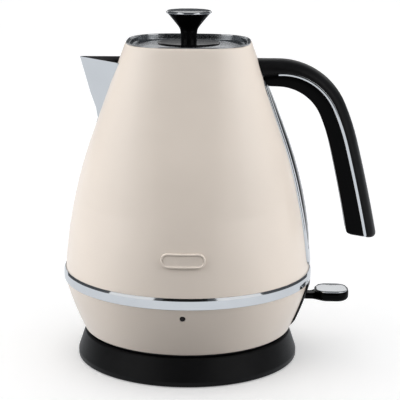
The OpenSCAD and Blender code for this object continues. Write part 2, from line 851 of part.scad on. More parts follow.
module gauge_window() {
    half = window_half - clear;
    low = window_low + clear;
    high = window_high - clear;
    steps = 12;
    across_steps = 6;
    ys = [for (k = [0:across_steps]) -half + 2 * half * k / across_steps];
    color("#26282b") loft([for (i = [0:steps])
        let (z = low + (high - low) * i / steps, rise = window_bulge * pow(sin(180 * i / steps), 0.7))
        concat(
            [for (y = ys) [skin_x(y, z) + bezel_proud - 0.1 + rise * (1 - pow(y / half, 4)), y, z]],
            [for (k = [across_steps:-1:0]) [skin_x(ys[k], z) + skin_gap + seal_h + fit, ys[k], z]]
        )]);
}

// ---- Trim on the skirt and the body ----

panel_t = 1.5;
panel_turn = 28;

module rear_panel() {
    steps = 8;
    low = skirt_z + 5;
    high = ring_z - 0.4;
    color("#151515") difference() {
        rotate([0, 0, -panel_turn / 2]) rotate_extrude(angle = panel_turn) polygon(concat(
            [for (i = [0:steps]) let (z = low + (high - low) * i / steps) [skirt_at(z) + fit, z]],
            [for (i = [steps:-1:0]) let (z = low + (high - low) * i / steps)
                [skirt_at(z) + fit + panel_t * min(1, (steps - i) / 2 + 0.4), z]]
        ));
        lever_slot();
    }
}

badge_l = 30.9;
badge_h = 10;
badge_z = ring_z + 33.8;
badge_border = 1.3;

// Pill outline of the badge, drawn in by d
module pill(d) {
    hull_r = badge_h / 2 - d;
    for (side = [-1, 1]) translate([side * (badge_l - badge_h) / 2, 0]) circle(r = hull_r, $fn = 48);
    square([badge_l - badge_h, 2 * hull_r], center = true);
}

// Slice of the body's front face between two stand-offs
module front_slice(under, over) {
    steps = 4;
    zs = [for (i = [0:steps]) badge_z - badge_h + 2 * badge_h * i / steps];
    rotate([0, 0, -110]) rotate_extrude(angle = 40) polygon(concat(
        [for (z = zs) [body_at(z) + under, z]], [for (i = [steps:-1:0]) [body_at(zs[i]) + over, zs[i]]]));
}

module badge() {
    color("#ded5c9") union() {
        intersection() {
            front_slice(fit, 0.9);
            translate([0, 0, badge_z]) rotate([90, 0, 0]) linear_extrude(height = 120) pill(0);
        }
        intersection() {
            front_slice(fit, 1.6);
            translate([0, 0, badge_z]) rotate([90, 0, 0]) linear_extrude(height = 120) difference() {
                pill(0);
                pill(badge_border);
            }
        }
    }
}

module lamp_lens() {
    out = skirt_at(lamp_z) + 0.2;
    color("#2a1414") translate([0, -out, lamp_z]) rotate([-90, 0, 0]) cylinder(r = lens_r, h = 4, $fn = 48);
}

module lamp_holder() {
    back = skirt_at(lamp_z) - skirt_wall - 13;
    color("#e8e6e0") translate([0, -back, lamp_z]) rotate([90, 0, 0]) difference() {
        cylinder(r = lamp_r, h = 11, $fn = 48);
        translate([0, 0, 6]) cylinder(r = lens_r + fit, h = 8, $fn = 48);
    }
}

// ---- On-off lever ----

paddle_x = skirt_at(pivot_z) + 8.8;
paddle_low = pivot_z - 2.2;
paddle_high = pivot_z + 4.6;
paddle_corner = 9;
cap_inset = 1.1;
lever_cap_t = 1.2;

// Rounded rectangle of the paddle, drawn in by d
module paddle_outline(d) {
    r = paddle_corner - d;
    translate([paddle_x + paddle_l / 2, 0]) hull()
        for (x = [-1, 1], y = [-1, 1])
            translate([x * (paddle_l / 2 - paddle_corner), y * (paddle_w / 2 - paddle_corner)]) circle(r = r, $fn = 32);
}

module switch_lever() {
    color("#101010") difference() {
        union() {
            translate([pivot_x, 0, pivot_z]) rotate([90, 0, 0])
                cylinder(r = hub_r, h = 2 * (ear_gap - clear), center = true);
            translate([pivot_x, -arm_half, pivot_z - arm_h / 2])
                cube([paddle_x - pivot_x + 4, 2 * arm_half, arm_h]);
            translate([(pivot_x + toggle_x) / 2 + 0.5, -4, pivot_z - 1.5])
                cube([(pivot_x - toggle_x) / 2, 8, 3]);
            translate([0, 0, paddle_low]) linear_extrude(height = paddle_high - paddle_low) paddle_outline(0);
        }
        translate([pivot_x, 0, pivot_z]) rotate([90, 0, 0])
            cylinder(r = pin_r + pin_fit, h = 40, center = true);
    }
}

module lever_cap() {
    color("#c9ccd0") translate([0, 0, paddle_high + 0.02])
        linear_extrude(height = lever_cap_t) paddle_outline(cap_inset);
}

module lever_pin() {
    color("#8f9194") translate([pivot_x, 0, pivot_z]) rotate([90, 0, 0])
        cylinder(r = pin_r, h = 2 * (ear_gap + ear_t), center = true);
}

// ---- Scale filter behind the spout ----

filter_z = spout_top - 25;
filter_half = 14;
filter_h = 28;
filter_t = 2.4;
filter_bar = 3;

// Places children against the inside of the front wall, X pointing in, Z along the wall
module at_filter() {
    translate([-body_at(filter_z) + body_wall + 1.2, 0, filter_z]) rotate([0, top_angle, 0]) children();
}

module filter_frame() {
    color("#e3e3df") at_filter() translate([0, 0, -filter_h / 2]) difference() {
        translate([0, -filter_half, 0]) cube([filter_t, 2 * filter_half, filter_h]);
        translate([-1, -filter_half + filter_bar, filter_bar])
            cube([filter_t + 2, 2 * (filter_half - filter_bar), filter_h - 2 * filter_bar]);
    }
}

// Woven mesh drawn as a coarse grid of bars inside the frame
module filter_mesh() {
    holes = 7;
    wide = 2 * (filter_half - filter_bar) - 2 * fit;
    tall = filter_h - 2 * filter_bar - 2 * fit;
    bar = 0.6;
    color("#a9acb0") at_filter() translate([filter_t / 2 - 0.2, 0, 0]) rotate([90, 0, 90])
        linear_extrude(height = 0.4) difference() {
            square([wide, tall], center = true);
            for (i = [0:holes - 1], j = [0:holes - 1])
                translate([-wide / 2 + bar + i * (wide - bar) / holes, -tall / 2 + bar + j * (tall - bar) / holes])
                    square([(wide - bar) / holes - bar, (tall - bar) / holes - bar]);
        }
}

base_housing();
base_bottom_plate();
base_foot_ring();
base_screws();
base_connector();
base_contacts();
cord_gland();
contact_rings();
contact_carrier();
body_shell();
rim_ring();
trim_ring();
skirt();
chassis();
bottom_cover();
bottom_screws();
connector_socket();
control_housing();
bimetal_discs();
heating_element();
heat_spreader();
floor_plate();
steam_tube();
spout();
handle_rail();
handle_web();
handle_stripes();
handle_bracket();
handle_screws();
gauge_bezel();
gauge_window();
gauge_seal();
rear_panel();
badge();
lamp_lens();
lamp_holder();
lever_pin();
toggle_pin();
switch_lever();
lever_cap();
control_toggle();
lid_dish();
lid_liner();
lid_seal();
knob_disc();
knob();
knob_cap();
knob_screw();
filter_frame();
filter_mesh();
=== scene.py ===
"""Electric kettle on a round power base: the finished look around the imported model, in its own frame."""

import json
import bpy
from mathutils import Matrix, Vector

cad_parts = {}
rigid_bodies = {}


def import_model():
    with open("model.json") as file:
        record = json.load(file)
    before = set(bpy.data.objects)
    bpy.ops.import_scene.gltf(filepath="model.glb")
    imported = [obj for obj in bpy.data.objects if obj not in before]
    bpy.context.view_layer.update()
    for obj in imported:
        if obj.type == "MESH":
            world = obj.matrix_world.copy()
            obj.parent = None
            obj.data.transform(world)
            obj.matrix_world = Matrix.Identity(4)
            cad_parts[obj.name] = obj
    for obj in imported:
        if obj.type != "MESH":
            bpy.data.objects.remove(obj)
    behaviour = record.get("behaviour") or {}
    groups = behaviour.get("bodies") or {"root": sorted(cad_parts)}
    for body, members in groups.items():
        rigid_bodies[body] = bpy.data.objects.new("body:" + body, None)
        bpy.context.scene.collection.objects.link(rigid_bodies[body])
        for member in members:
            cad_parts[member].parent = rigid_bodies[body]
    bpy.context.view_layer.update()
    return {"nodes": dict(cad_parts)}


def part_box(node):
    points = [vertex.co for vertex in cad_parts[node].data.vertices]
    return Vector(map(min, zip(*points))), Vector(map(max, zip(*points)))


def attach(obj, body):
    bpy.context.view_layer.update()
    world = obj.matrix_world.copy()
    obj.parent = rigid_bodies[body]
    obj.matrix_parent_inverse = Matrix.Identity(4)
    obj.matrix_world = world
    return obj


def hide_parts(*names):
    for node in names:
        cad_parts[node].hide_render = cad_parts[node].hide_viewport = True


bl_info = {
    "name": "Electric Kettle Maker",
    "version": (1, 0, 0),
    "blender": (4, 5, 0),
    "location": "View3D > Sidebar > Kettle",
    "description": "Builds the body, trim, handle, lid, spout, lever and power base of an electric kettle",
    "category": "Add Mesh",
}

from math import asin, atan, cos, pi, radians, sin, sqrt, tan

import bmesh
import bpy
from bpy.props import FloatProperty, FloatVectorProperty, PointerProperty
from mathutils import Matrix, Vector

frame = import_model()

MM = 0.001
TURNS = 192


# ---- Sizes and colours that a user may change ----


def linear(hex_colour):
    """An sRGB hex value as linear red, green and blue."""
    parts = [int(hex_colour[i : i + 2], 16) / 255 for i in (1, 3, 5)]
    return tuple(c / 12.92 if c <= 0.04045 else ((c + 0.055) / 1.055) ** 2.4 for c in parts)


def size(name, description, default_mm):
    """A length property whose default is given in millimetres."""
    return FloatProperty(
        name=name, description=description, default=default_mm * MM, unit="LENGTH", precision=4
    )


def swatch(name, description, hex_colour):
    """A colour property whose default is an sRGB hex value."""
    return FloatVectorProperty(
        name=name, description=description, default=linear(hex_colour), subtype="COLOR",
        size=3, min=0, max=1,
    )


def edge_of(node, axis, high=True):
    """One side of a CAD node's box, in millimetres."""
    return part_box(node)[1 if high else 0][axis] / MM


class KettleSizes(bpy.types.PropertyGroup):
    """Sizes of the kettle's outer pieces."""

    rim_z: size("Rim height", "Height of the body's rim above the table", edge_of("body_shell", 2))
    body_r: size("Body radius", "Radius of the body where it meets the trim ring", 90.1)
    body_h: size("Body height", "Height of the body from the trim ring's seat to the rim", 168.8)
    mouth_w: size("Mouth half width", "Half width of the mouth across its flat sides", 45.1)
    wall: size("Body wall", "Thickness of the steel wall", 1.2)
    ring_r: size("Trim ring radius", "Outer radius of the chrome trim ring", edge_of("trim_ring", 1))
    ring_z: size("Trim ring height", "Height of the trim ring's lower edge", edge_of("trim_ring", 2, False))
    ring_band: size("Trim ring band", "Height of the upright band of the trim ring", 6.6)
    skirt_h: size("Skirt height", "Height of the painted skirt", 37.6)
    skirt_draw: size("Skirt draw", "How far the skirt draws in from top to bottom", 14)
    base_r: size("Base radius", "Radius of the power base at the table", edge_of("base_housing", 0))
    base_h: size("Base height", "Height of the power base", edge_of("base_housing", 2))
    spout_reach: size("Spout reach", "From the axis to the spout's tip", -edge_of("spout", 0, False))
    spout_top: size("Spout height", "Height of the spout's top edge", edge_of("spout", 2))
    handle_w: size("Handle width", "Width of the handle", 26)
    handle_t: size("Handle thickness", "Thickness of the handle from outer to inner edge", 21.5)
    stripe_w: size("Stripe width", "Width of the chrome stripe on the handle", 2.1)
    bezel_half: size("Bezel half width", "Half width of the level gauge's bezel", 20)
    disc_r: size("Disc radius", "Radius of the black disc under the knob", edge_of("knob_disc", 0))
    knob_r: size("Knob radius", "Radius of the knob's chrome cap", edge_of("knob_cap", 0))
    paddle_l: size("Paddle length", "Length of the lever's finger paddle", 25)


class KettleColours(bpy.types.PropertyGroup):
    """Colours of the kettle's finishes."""

    cream: swatch("Cream", "Lacquer of the body and the skirt", "#DDD2C7")
    chrome: swatch("Chrome", "Plated trim", "#DEE1E4")
    black: swatch("Black", "Moulded base, handle and knob", "#0E0E0F")
    window: swatch("Window", "Smoked window of the level gauge", "#131517")
    table: swatch("Table", "Table that the kettle stands on", "#F4F4F4")


def mm(name):
    """A size property in millimetres."""
    return getattr(bpy.context.scene.kettle_sizes, name) / MM


def tint(name):
    """A colour property as a plain tuple."""
    return tuple(getattr(bpy.context.scene.kettle_colours, name))


# ---- Curves of the body ----

FOOT_ANGLE = radians(3)
CURVED_SHARE = 0.6
MOUTH_POWER = 2.95
SQUARE_SHARE = 0.67
SKIRT_BULGE = 1.1
SPOUT_H = 45.3
SPOUT_HALF = 19


def cone_angle():
    """Angle of the straight cone that leads from the curved foot to the mouth."""
    low, high = 0.0, radians(60)
    for _ in range(40):
        mid = (low + high) / 2
        drop = mm("body_h") * (CURVED_SHARE * tan((FOOT_ANGLE + mid) / 2) + (1 - CURVED_SHARE) * tan(mid))
        low, high = (mid, high) if drop < mm("body_r") - mm("mouth_w") else (low, mid)
    return low


def body_at(z):
    """Half width of the body at height z: an arc, then a cone."""
    top = cone_angle()
    up = z - (mm("rim_z") - mm("body_h"))
    arc = CURVED_SHARE * mm("body_h")
    if up > arc:
        return mm("mouth_w") + (mm("body_h") - up) * tan(top)
    curve = arc / (sin(top) - sin(FOOT_ANGLE))
    return mm("body_r") - curve * (cos(FOOT_ANGLE) - cos(asin(sin(FOOT_ANGLE) + up / curve)))


def power_at(z):
    """Squareness of the body at height z, where 2 is a circle."""
    square_z = mm("rim_z") - SQUARE_SHARE * mm("body_h")
    return 2 + (MOUTH_POWER - 2) * max(0.0, z - square_z) / (mm("rim_z") - square_z)


def rounded_square(w, power, z, count=TURNS):
    """Ring of points round a rounded square of half width w at height z."""
    ring = []
    for i in range(count):
        c, s = cos(2 * pi * i / count), sin(2 * pi * i / count)
        r = w / (abs(c) ** power + abs(s) ** power) ** (1 / power)
        ring.append((r * c, r * s, z))
    return ring


def skin_at(across, z, off=0.0):
    """Distance of the body's skin from the axis plane, at a sideways distance and a height."""
    w, power = body_at(z) + off, power_at(z)
    return w * max(0.0, 1 - (abs(across) / w) ** power) ** (1 / power)


def skirt_at(z):
    """Radius of the skirt at height z."""
    s = (mm("ring_z") - z) / mm("skirt_h")
    return mm("body_r") + 0.2 - mm("skirt_draw") * s + 4 * SKIRT_BULGE * s * (1 - s)


def spout_edge(z):
    """Distance of the spout's front edge from the axis at height z."""
    low, reach = mm("spout_top") - SPOUT_H, mm("spout_reach")
    return reach - (reach - body_at(low)) * (mm("spout_top") - z) / SPOUT_H


def spout_slope():
    """Sideways run of the spout's flank for each millimetre back from its edge."""
    return SPOUT_HALF / (mm("spout_reach") - body_at(mm("spout_top")))


# ---- Mesh tools ----


def rounded(corners, steps=5, closed=True):
    """A line through corners (x, y) or (x, y, radius), with each radius as a true arc."""
    line = []
    count = len(corners)
    for i, corner in enumerate(corners):
        here = Vector(corner[:2])
        radius = corner[2] if len(corner) > 2 else 0
        if radius <= 0 or (not closed and i in (0, count - 1)):
            line.append(tuple(here))
            continue
        back = Vector(corners[i - 1][:2]) - here
        ahead = Vector(corners[(i + 1) % count][:2]) - here
        turn = pi - back.angle(ahead)
        reach = min(radius * tan(turn / 2), 0.49 * back.length, 0.49 * ahead.length)
        start, end = here + back.normalized() * reach, here + ahead.normalized() * reach
        weight = cos(turn / 2)
        for k in range(steps + 1):
            t = k / steps
            a, b, c = (1 - t) ** 2, 2 * weight * t * (1 - t), t * t
            line.append(tuple((a * start + b * here + c * end) / (a + b + c)))
    return line


def loft(rings, loop=False, caps=True):
    """Vertices and faces through closed rings of points; a loop joins the last ring to the first."""
    n, m = len(rings[0]), len(rings)
    faces = []
    for i in range(m if loop else m - 1):
        low, high = i * n, ((i + 1) % m) * n
        for j in range(n):
            faces.append((low + j, low + (j + 1) % n, high + (j + 1) % n, high + j))
    if caps and not loop:
        faces.append(tuple(range(n - 1, -1, -1)))
        faces.append(tuple(range((m - 1) * n, m * n)))
    return [p for ring in rings for p in ring], faces


def lathe(line, turns=TURNS, closed=True):
    """Solid of revolution about Z from a line of (radius, height)."""
    angles = [2 * pi * j / turns for j in range(turns)]
    rings = [[(r * cos(a), r * sin(a), z) for a in angles] for r, z in line]
    return loft(rings, loop=closed, caps=False)


def sheet(outer, inner, around=False):
    """Closed solid between two grids of points; with around, its columns close into a ring."""
    rows, columns = len(outer), len(outer[0])
    points = [p for row in outer for p in row] + [p for row in inner for p in row]
    shift = rows * columns
    faces = []
    for i in range(rows - 1):
        for j in range(columns if around else columns - 1):
            a, b = i * columns + j, i * columns + (j + 1) % columns
            c, d = b + columns, a + columns
            faces += [(a, b, c, d), (a + shift, d + shift, c + shift, b + shift)]
    for j in range(columns if around else columns - 1):
        k = (j + 1) % columns
        top = (rows - 1) * columns
        faces += [(k, j, j + shift, k + shift), (top + j, top + k, top + k + shift, top + j + shift)]
    if not around:
        for i in range(rows - 1):
            a, b = i * columns, (i + 1) * columns
            faces += [(a, b, b + shift, a + shift)]
            a, b = a + columns - 1, b + columns - 1
            faces += [(b, a, a + shift, b + shift)]
    return points, faces


def joined(*parts):
    """Several vertex and face lists as one."""
    points, faces = [], []
    for some_points, some_faces in parts:
        faces += [tuple(i + len(points) for i in f) for f in some_faces]
        points += some_points
    return points, faces


def shifted(part, matrix):
    """A vertex and face list moved by a matrix."""
    points, faces = part
    return [tuple(matrix @ Vector(p)) for p in points], faces


def mesh_object(name, part, sharp=32):
    """An object from vertices in millimetres, with doubles merged and smooth shading up to an angle."""
    points, faces = part
    data = bpy.data.meshes.new(name)
    data.from_pydata([tuple(c * MM for c in p) for p in points], [], faces)
    work = bmesh.new()
    work.from_mesh(data)
    bmesh.ops.remove_doubles(work, verts=work.verts, dist=2e-6)
    bmesh.ops.dissolve_degenerate(work, edges=work.edges, dist=1e-6)
    bmesh.ops.recalc_face_normals(work, faces=work.faces)
    work.to_mesh(data)
    work.free()
    data.shade_smooth()
    data.set_sharp_from_angle(angle=radians(sharp))
    made = bpy.data.objects.new(name, data)
    bpy.context.scene.collection.objects.link(made)
    return made


def cut(target, cutters, sharp=32):
    """Cuts closed vertex and face lists out of an object."""
    for part in cutters:
        tool = mesh_object("cutter", part)
        step = target.modifiers.new("cut", "BOOLEAN")
        step.operation, step.solver, step.object = "DIFFERENCE", "EXACT", tool
        bpy.context.view_layer.update()
        seen = target.evaluated_get(bpy.context.evaluated_depsgraph_get())
        result = bpy.data.meshes.new_from_object(seen)
        target.modifiers.clear()
        old, target.data = target.data, result
        result.name = old.name
        bpy.data.meshes.remove(old)
        bpy.data.objects.remove(tool)
    target.data.shade_smooth()
    target.data.set_sharp_from_angle(angle=radians(sharp))
    return target


def soften(target, width_mm, angle=40, segments=2):
    """Rounds every edge sharper than an angle."""
    step = target.modifiers.new("soft edges", "BEVEL")
    step.width, step.segments, step.limit_method = width_mm * MM, segments, "ANGLE"
    step.angle_limit, step.use_clamp_overlap, step.harden_normals = radians(angle), True, True
    return target


def place(target, material, body, nodes):
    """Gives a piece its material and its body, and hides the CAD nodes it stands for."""
    target.data.materials.clear()
    target.data.materials.append(material)
    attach(target, body)
    if nodes:
        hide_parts(*nodes)
    return target


def box(low, high):
    """Closed box between two corners."""
    (x0, y0, z0), (x1, y1, z1) = low, high
    return loft([[(x0, y0, z), (x1, y0, z), (x1, y1, z), (x0, y1, z)] for z in (z0, z1)])


def rod(start, end, r, turns=48):
    """Closed round rod between two points."""
    a, b = Vector(start), Vector(end)
    turn = Vector((0, 0, 1)).rotation_difference(b - a).to_matrix().to_4x4()
    rings = [
        [(r * cos(2 * pi * j / turns), r * sin(2 * pi * j / turns), h) for j in range(turns)]
        for h in (0, (b - a).length)
    ]
    return shifted(loft(rings), Matrix.Translation(a) @ turn)


# ---- Material tools ----


def add(tree, kind, values=None, links=None, **settings):
    """Adds a node with its settings, its socket values and its incoming links."""
    made = tree.nodes.new(kind)
    for key, value in settings.items():
        setattr(made, key, value)
    for key, value in (values or {}).items():
        made.inputs[key].default_value = value
    for key, source in (links or {}).items():
        tree.links.new(source, made.inputs[key])
    return made


def new_material(name, colour, **values):
    """A Principled material with its shader's sockets set; returns the material and its shader."""
    made = bpy.data.materials.new(name)
    made.use_nodes = True
    made.node_tree.nodes.clear()
    sockets = {key.replace("_", " ").title().replace("Ior", "IOR"): value for key, value in values.items()}
    shader = add(made.node_tree, "ShaderNodeBsdfPrincipled", {"Base Color": (*colour, 1), **sockets})
    add(made.node_tree, "ShaderNodeOutputMaterial", links={"Surface": shader.outputs["BSDF"]})
    return made, shader


def pattern(shader, size_mm, detail=2.0, stretch=(1, 1, 1), seed=(0, 0, 0)):
    """Even grain in the piece's own space, about size_mm across and longer where stretch is above 1."""
    tree = shader.id_data
    where = add(tree, "ShaderNodeTexCoord")
    scale = tuple(1 / (size_mm * MM * s) for s in stretch)
    moved = add(
        tree, "ShaderNodeMapping", {"Scale": scale, "Location": seed}, {"Vector": where.outputs["Object"]}
    )
    return add(
        tree, "ShaderNodeTexNoise", {"Scale": 1.0, "Detail": detail}, {"Vector": moved.outputs["Vector"]}
    ).outputs["Fac"]


def drive(shader, socket, grain, low, high, span=(0.3, 0.7)):
    """Runs one of the shader's sockets from low to high with a grain."""
    ramp = add(
        shader.id_data,
        "ShaderNodeMapRange",
        {"From Min": span[0], "From Max": span[1], "To Min": low, "To Max": high},
        {"Value": grain},
    )
    shader.id_data.links.new(ramp.outputs["Result"], shader.inputs[socket])


def stain(shader, grain, colour, other, span=(0.3, 0.7)):
    """Runs the shader's colour between two with a grain."""
    share = add(
        shader.id_data, "ShaderNodeMapRange", {"From Min": span[0], "From Max": span[1]}, {"Value": grain}
    )
    mixed = add(
        shader.id_data,
        "ShaderNodeMix",
        {6: (*colour, 1), 7: (*other, 1)},
        {0: share.outputs["Result"]},
        data_type="RGBA",
    )
    shader.id_data.links.new(mixed.outputs[2], shader.inputs["Base Color"])


def relief(shader, grain, depth_mm, strength=1.0, coat=False):
    """Raises a grain by a depth, on the base and, where there is one, on the coat."""
    depth = {"Strength": strength, "Distance": depth_mm * MM}
    bump = add(shader.id_data, "ShaderNodeBump", depth, {"Height": grain})
    for socket in ("Normal", "Coat Normal") if coat else ("Normal",):
        shader.id_data.links.new(bump.outputs["Normal"], shader.inputs[socket])


def shade(colour, factor):
    """A colour made lighter or darker."""
    return tuple(min(1.0, c * factor) for c in colour)


# ---- Materials ----


def cream_lacquer():
    """Pressed steel sprayed with cream lacquer: even colour, soft broad gloss, slight orange peel."""
    made, shader = new_material(
        "cream_lacquer", tint("cream"), roughness=0.42, ior=1.5,
        coat_weight=0.35, coat_roughness=0.16, coat_ior=1.5,
    )
    stain(shader, pattern(shader, 38), shade(tint("cream"), 0.985), shade(tint("cream"), 1.015))
    drive(shader, "Roughness", pattern(shader, 9, seed=(3, 1, 2)), 0.38, 0.46)
    # Orange peel is about 1 mm across; drawn at 3 mm so that it shows as a faint waviness
    relief(shader, pattern(shader, 3, detail=1), 0.012, coat=True)
    return made


def badge_lacquer():
    """Die-cast badge under the same lacquer: a touch deeper in colour and finer in gloss."""
    made, shader = new_material(
        "badge_lacquer",
        shade(tint("cream"), 0.95),
        roughness=0.34,
        ior=1.5,
        coat_weight=0.4,
        coat_roughness=0.12,
    )
    stain(shader, pattern(shader, 6), shade(tint("cream"), 0.93), shade(tint("cream"), 0.98))
    relief(shader, pattern(shader, 1.2), 0.01, coat=True)
    return made


def plated_chrome():
    """Bright chrome plate: mirror-like, faintly blue, with the slight haze of handling."""
    made, shader = new_material("plated_chrome", tint("chrome"), metallic=1.0, roughness=0.07)
    drive(shader, "Roughness", pattern(shader, 14, detail=3), 0.05, 0.1)
    stain(shader, pattern(shader, 22, seed=(5, 2, 1)), tint("chrome"), shade(tint("chrome"), 0.96))
    # Moulding waviness is some 20 mm long; it bends the reflections a little
    relief(shader, pattern(shader, 18, detail=0), 0.02)
    return made


def satin_steel():
    """Stainless steel, pressed and satin polished: grey, blurred reflections, fine grain."""
    made, shader = new_material("satin_steel", linear("#B4B8BC"), metallic=1.0, roughness=0.24)
    grain = pattern(shader, 1.1, detail=3)
    drive(shader, "Roughness", grain, 0.18, 0.3)
    stain(shader, pattern(shader, 1.6, detail=2, seed=(1, 4, 2)), linear("#A2A6AA"), linear("#BCC0C4"))
    relief(shader, grain, 0.006)
    return made


def steel_painted_shade():
    """Inside of the spout: stainless steel with painted shade, nearly black as it looks where little light
    gets in.
    """
    made, shader = new_material("darkened_steel", linear("#303236"), metallic=1.0, roughness=0.3)
    stain(shader, pattern(shader, 6, detail=3), linear("#2A2C30"), linear("#3A3C40"))
    relief(shader, pattern(shader, 1.4), 0.006)
    return made


def inner_steel():
    """Bare drawn stainless inside the tank: dull grey with upright draw marks."""
    made, shader = new_material("inner_steel", linear("#A6A9AC"), metallic=1.0, roughness=0.34)
    marks = pattern(shader, 0.8, stretch=(1, 1, 30))
    drive(shader, "Roughness", marks, 0.28, 0.42)
    relief(shader, marks, 0.004)
    return made


def moulded_black(name, roughness, grain_mm, depth_mm, lift=0.6, gloss=0.14):
    """Black moulded plastic with a spark-eroded grain of a given size and depth."""
    made, shader = new_material(
        name, shade(tint("black"), lift), roughness=roughness, ior=1.5, specular_ior_level=gloss
    )
    grain = pattern(shader, grain_mm, detail=3)
    patches = pattern(shader, grain_mm * 9)
    stain(shader, patches, shade(tint("black"), lift * 0.85), shade(tint("black"), lift * 1.2))
    drive(shader, "Roughness", grain, roughness * 0.88, roughness * 1.12)
    relief(shader, grain, depth_mm)
    return made


def satin_abs():
    """Base in satin-grained ABS: soft wide highlights; the 0.4 mm grain is drawn at 0.9 mm to show."""
    return moulded_black("satin_abs", 0.42, 0.9, 0.02)


def soft_grip():
    """Handle back in fine-grained PBT: a broad soft sheen along the rounded back."""
    return moulded_black("soft_grip_pbt", 0.36, 0.8, 0.012, lift=1.15)


def gloss_abs():
    """Inner side of the handle and the lever in gloss ABS: deep black with crisp reflections."""
    return moulded_black("gloss_abs", 0.2, 6, 0.008, lift=0.3, gloss=0.06)


def gloss_phenolic():
    """Knob and disc in polished phenolic: the deepest black, with a hard thin gloss."""
    return moulded_black("gloss_phenolic", 0.16, 7, 0.006, lift=0.35, gloss=0.2)


def smoked_window():
    """Smoked polycarbonate window: near black, with a hard clear gloss over a faint depth."""
    made, shader = new_material(
        "smoked_window", tint("window"), roughness=0.3, ior=1.58, coat_weight=1.0, coat_roughness=0.03
    )
    stain(shader, pattern(shader, 30), tint("window"), shade(tint("window"), 1.6))
    relief(shader, pattern(shader, 12, detail=0), 0.01, coat=True)
    return made


def printed_white():
    """Pad-printed white ink: flat, slightly uneven cover."""
    made, shader = new_material("printed_white", linear("#C9CBCB"), roughness=0.55, ior=1.5)
    stain(shader, pattern(shader, 0.8), linear("#B9BBBB"), linear("#D2D4D4"))
    return made


def lamp_glass():
    """Unlit red neon lens: near black from outside, with a bright pinpoint gloss."""
    made, shader = new_material(
        "lamp_glass", linear("#0E0707"), roughness=0.2, ior=1.49, specular_ior_level=0.25
    )
    stain(shader, pattern(shader, 1.5), linear("#0B0505"), linear("#120808"))
    return made


def rubber():
    """Moulded nitrile rubber: matt charcoal with a dusty grain."""
    made, shader = new_material(
        "moulded_rubber", linear("#1D1D1D"), roughness=0.8, ior=1.45, sheen_weight=0.15
    )
    grain = pattern(shader, 0.9, detail=4)
    stain(shader, grain, linear("#171717"), linear("#262626"))
    relief(shader, grain, 0.03)
    return made


def silicone():
    """Moulded food-grade silicone: milky grey, soft sheen."""
    made, shader = new_material(
        "food_silicone", linear("#C9C7C2"), roughness=0.5, ior=1.41,
        subsurface_weight=0.15, subsurface_scale=0.002,
    )
    grain = pattern(shader, 1.5)
    stain(shader, grain, linear("#BFBDB8"), linear("#D2D0CB"))
    relief(shader, grain, 0.01)
    return made


def pale_nylon():
    """Glass-filled nylon, natural colour: warm white, slightly mottled, low gloss."""
    made, shader = new_material("natural_nylon", linear("#D5D0C4"), roughness=0.5, ior=1.53)
    grain = pattern(shader, 2.5, detail=4)
    stain(shader, grain, linear("#CBC6B9"), linear("#DDD9CF"))
    relief(shader, grain, 0.015)
    return made


def grey_pbt():
    """Dark grey moulded PBT of the parts under the kettle: even satin."""
    return moulded_black("grey_pbt", 0.5, 1.2, 0.02, lift=4.0)


def zinc_plate():
    """Zinc-plated steel fasteners: silvery with faint blue and yellow patches."""
    made, shader = new_material("zinc_plate", linear("#9FA3A6"), metallic=1.0, roughness=0.36)
    grain = pattern(shader, 2.2, detail=3)
    stain(shader, grain, linear("#9AA0A6"), linear("#B0AC9F"))
    drive(shader, "Roughness", grain, 0.3, 0.46)
    return made


def spring_brass():
    """Rolled brass contacts: warm yellow with rolling lines and some tarnish."""
    made, shader = new_material("spring_brass", linear("#C69B52"), metallic=1.0, roughness=0.3)
    stain(shader, pattern(shader, 3, detail=3), linear("#CBA25B"), linear("#A67F45"))
    relief(shader, pattern(shader, 0.5, stretch=(1, 1, 12)), 0.004)
    return made


def rolled_aluminium():
    """Rolled aluminium plate under the floor: pale grey with a fine grain."""
    made, shader = new_material("rolled_aluminium", linear("#B7B9BA"), metallic=1.0, roughness=0.4)
    grain = pattern(shader, 0.7, stretch=(20, 1, 1))
    drive(shader, "Roughness", grain, 0.34, 0.5)
    relief(shader, grain, 0.006)
    return made


FINISHES = {}


def finish(name):
    """A material by its maker's name, made once."""
    makers = {
        "cream": cream_lacquer, "badge": badge_lacquer, "chrome": plated_chrome,
        "satin steel": satin_steel, "steel with painted shade": steel_painted_shade, "inner steel": inner_steel,
        "satin black": satin_abs, "grip": soft_grip, "gloss black": gloss_abs,
        "phenolic": gloss_phenolic, "window": smoked_window, "print": printed_white,
        "lamp": lamp_glass, "rubber": rubber, "silicone": silicone, "nylon": pale_nylon,
        "grey": grey_pbt, "zinc": zinc_plate, "brass": spring_brass, "aluminium": rolled_aluminium,
    }
    if name not in FINISHES:
        FINISHES[name] = makers[name]()
    return FINISHES[name]


# ---- Body, rim ring, trim ring and skirt ----

SHELL_FOOT = 63.2
# Opening behind the spout: how far it stays inside the spout's foot, top, edge and the body's skin
SPOUT_HOLE_FOOT, SPOUT_HOLE_TOP, SPOUT_HOLE_EDGE, SPOUT_HOLE_DEEP = 12, 4, 4.2, 14
GAUGE_SLOT = ((30, -6, 90.8), (110, 6, 195))


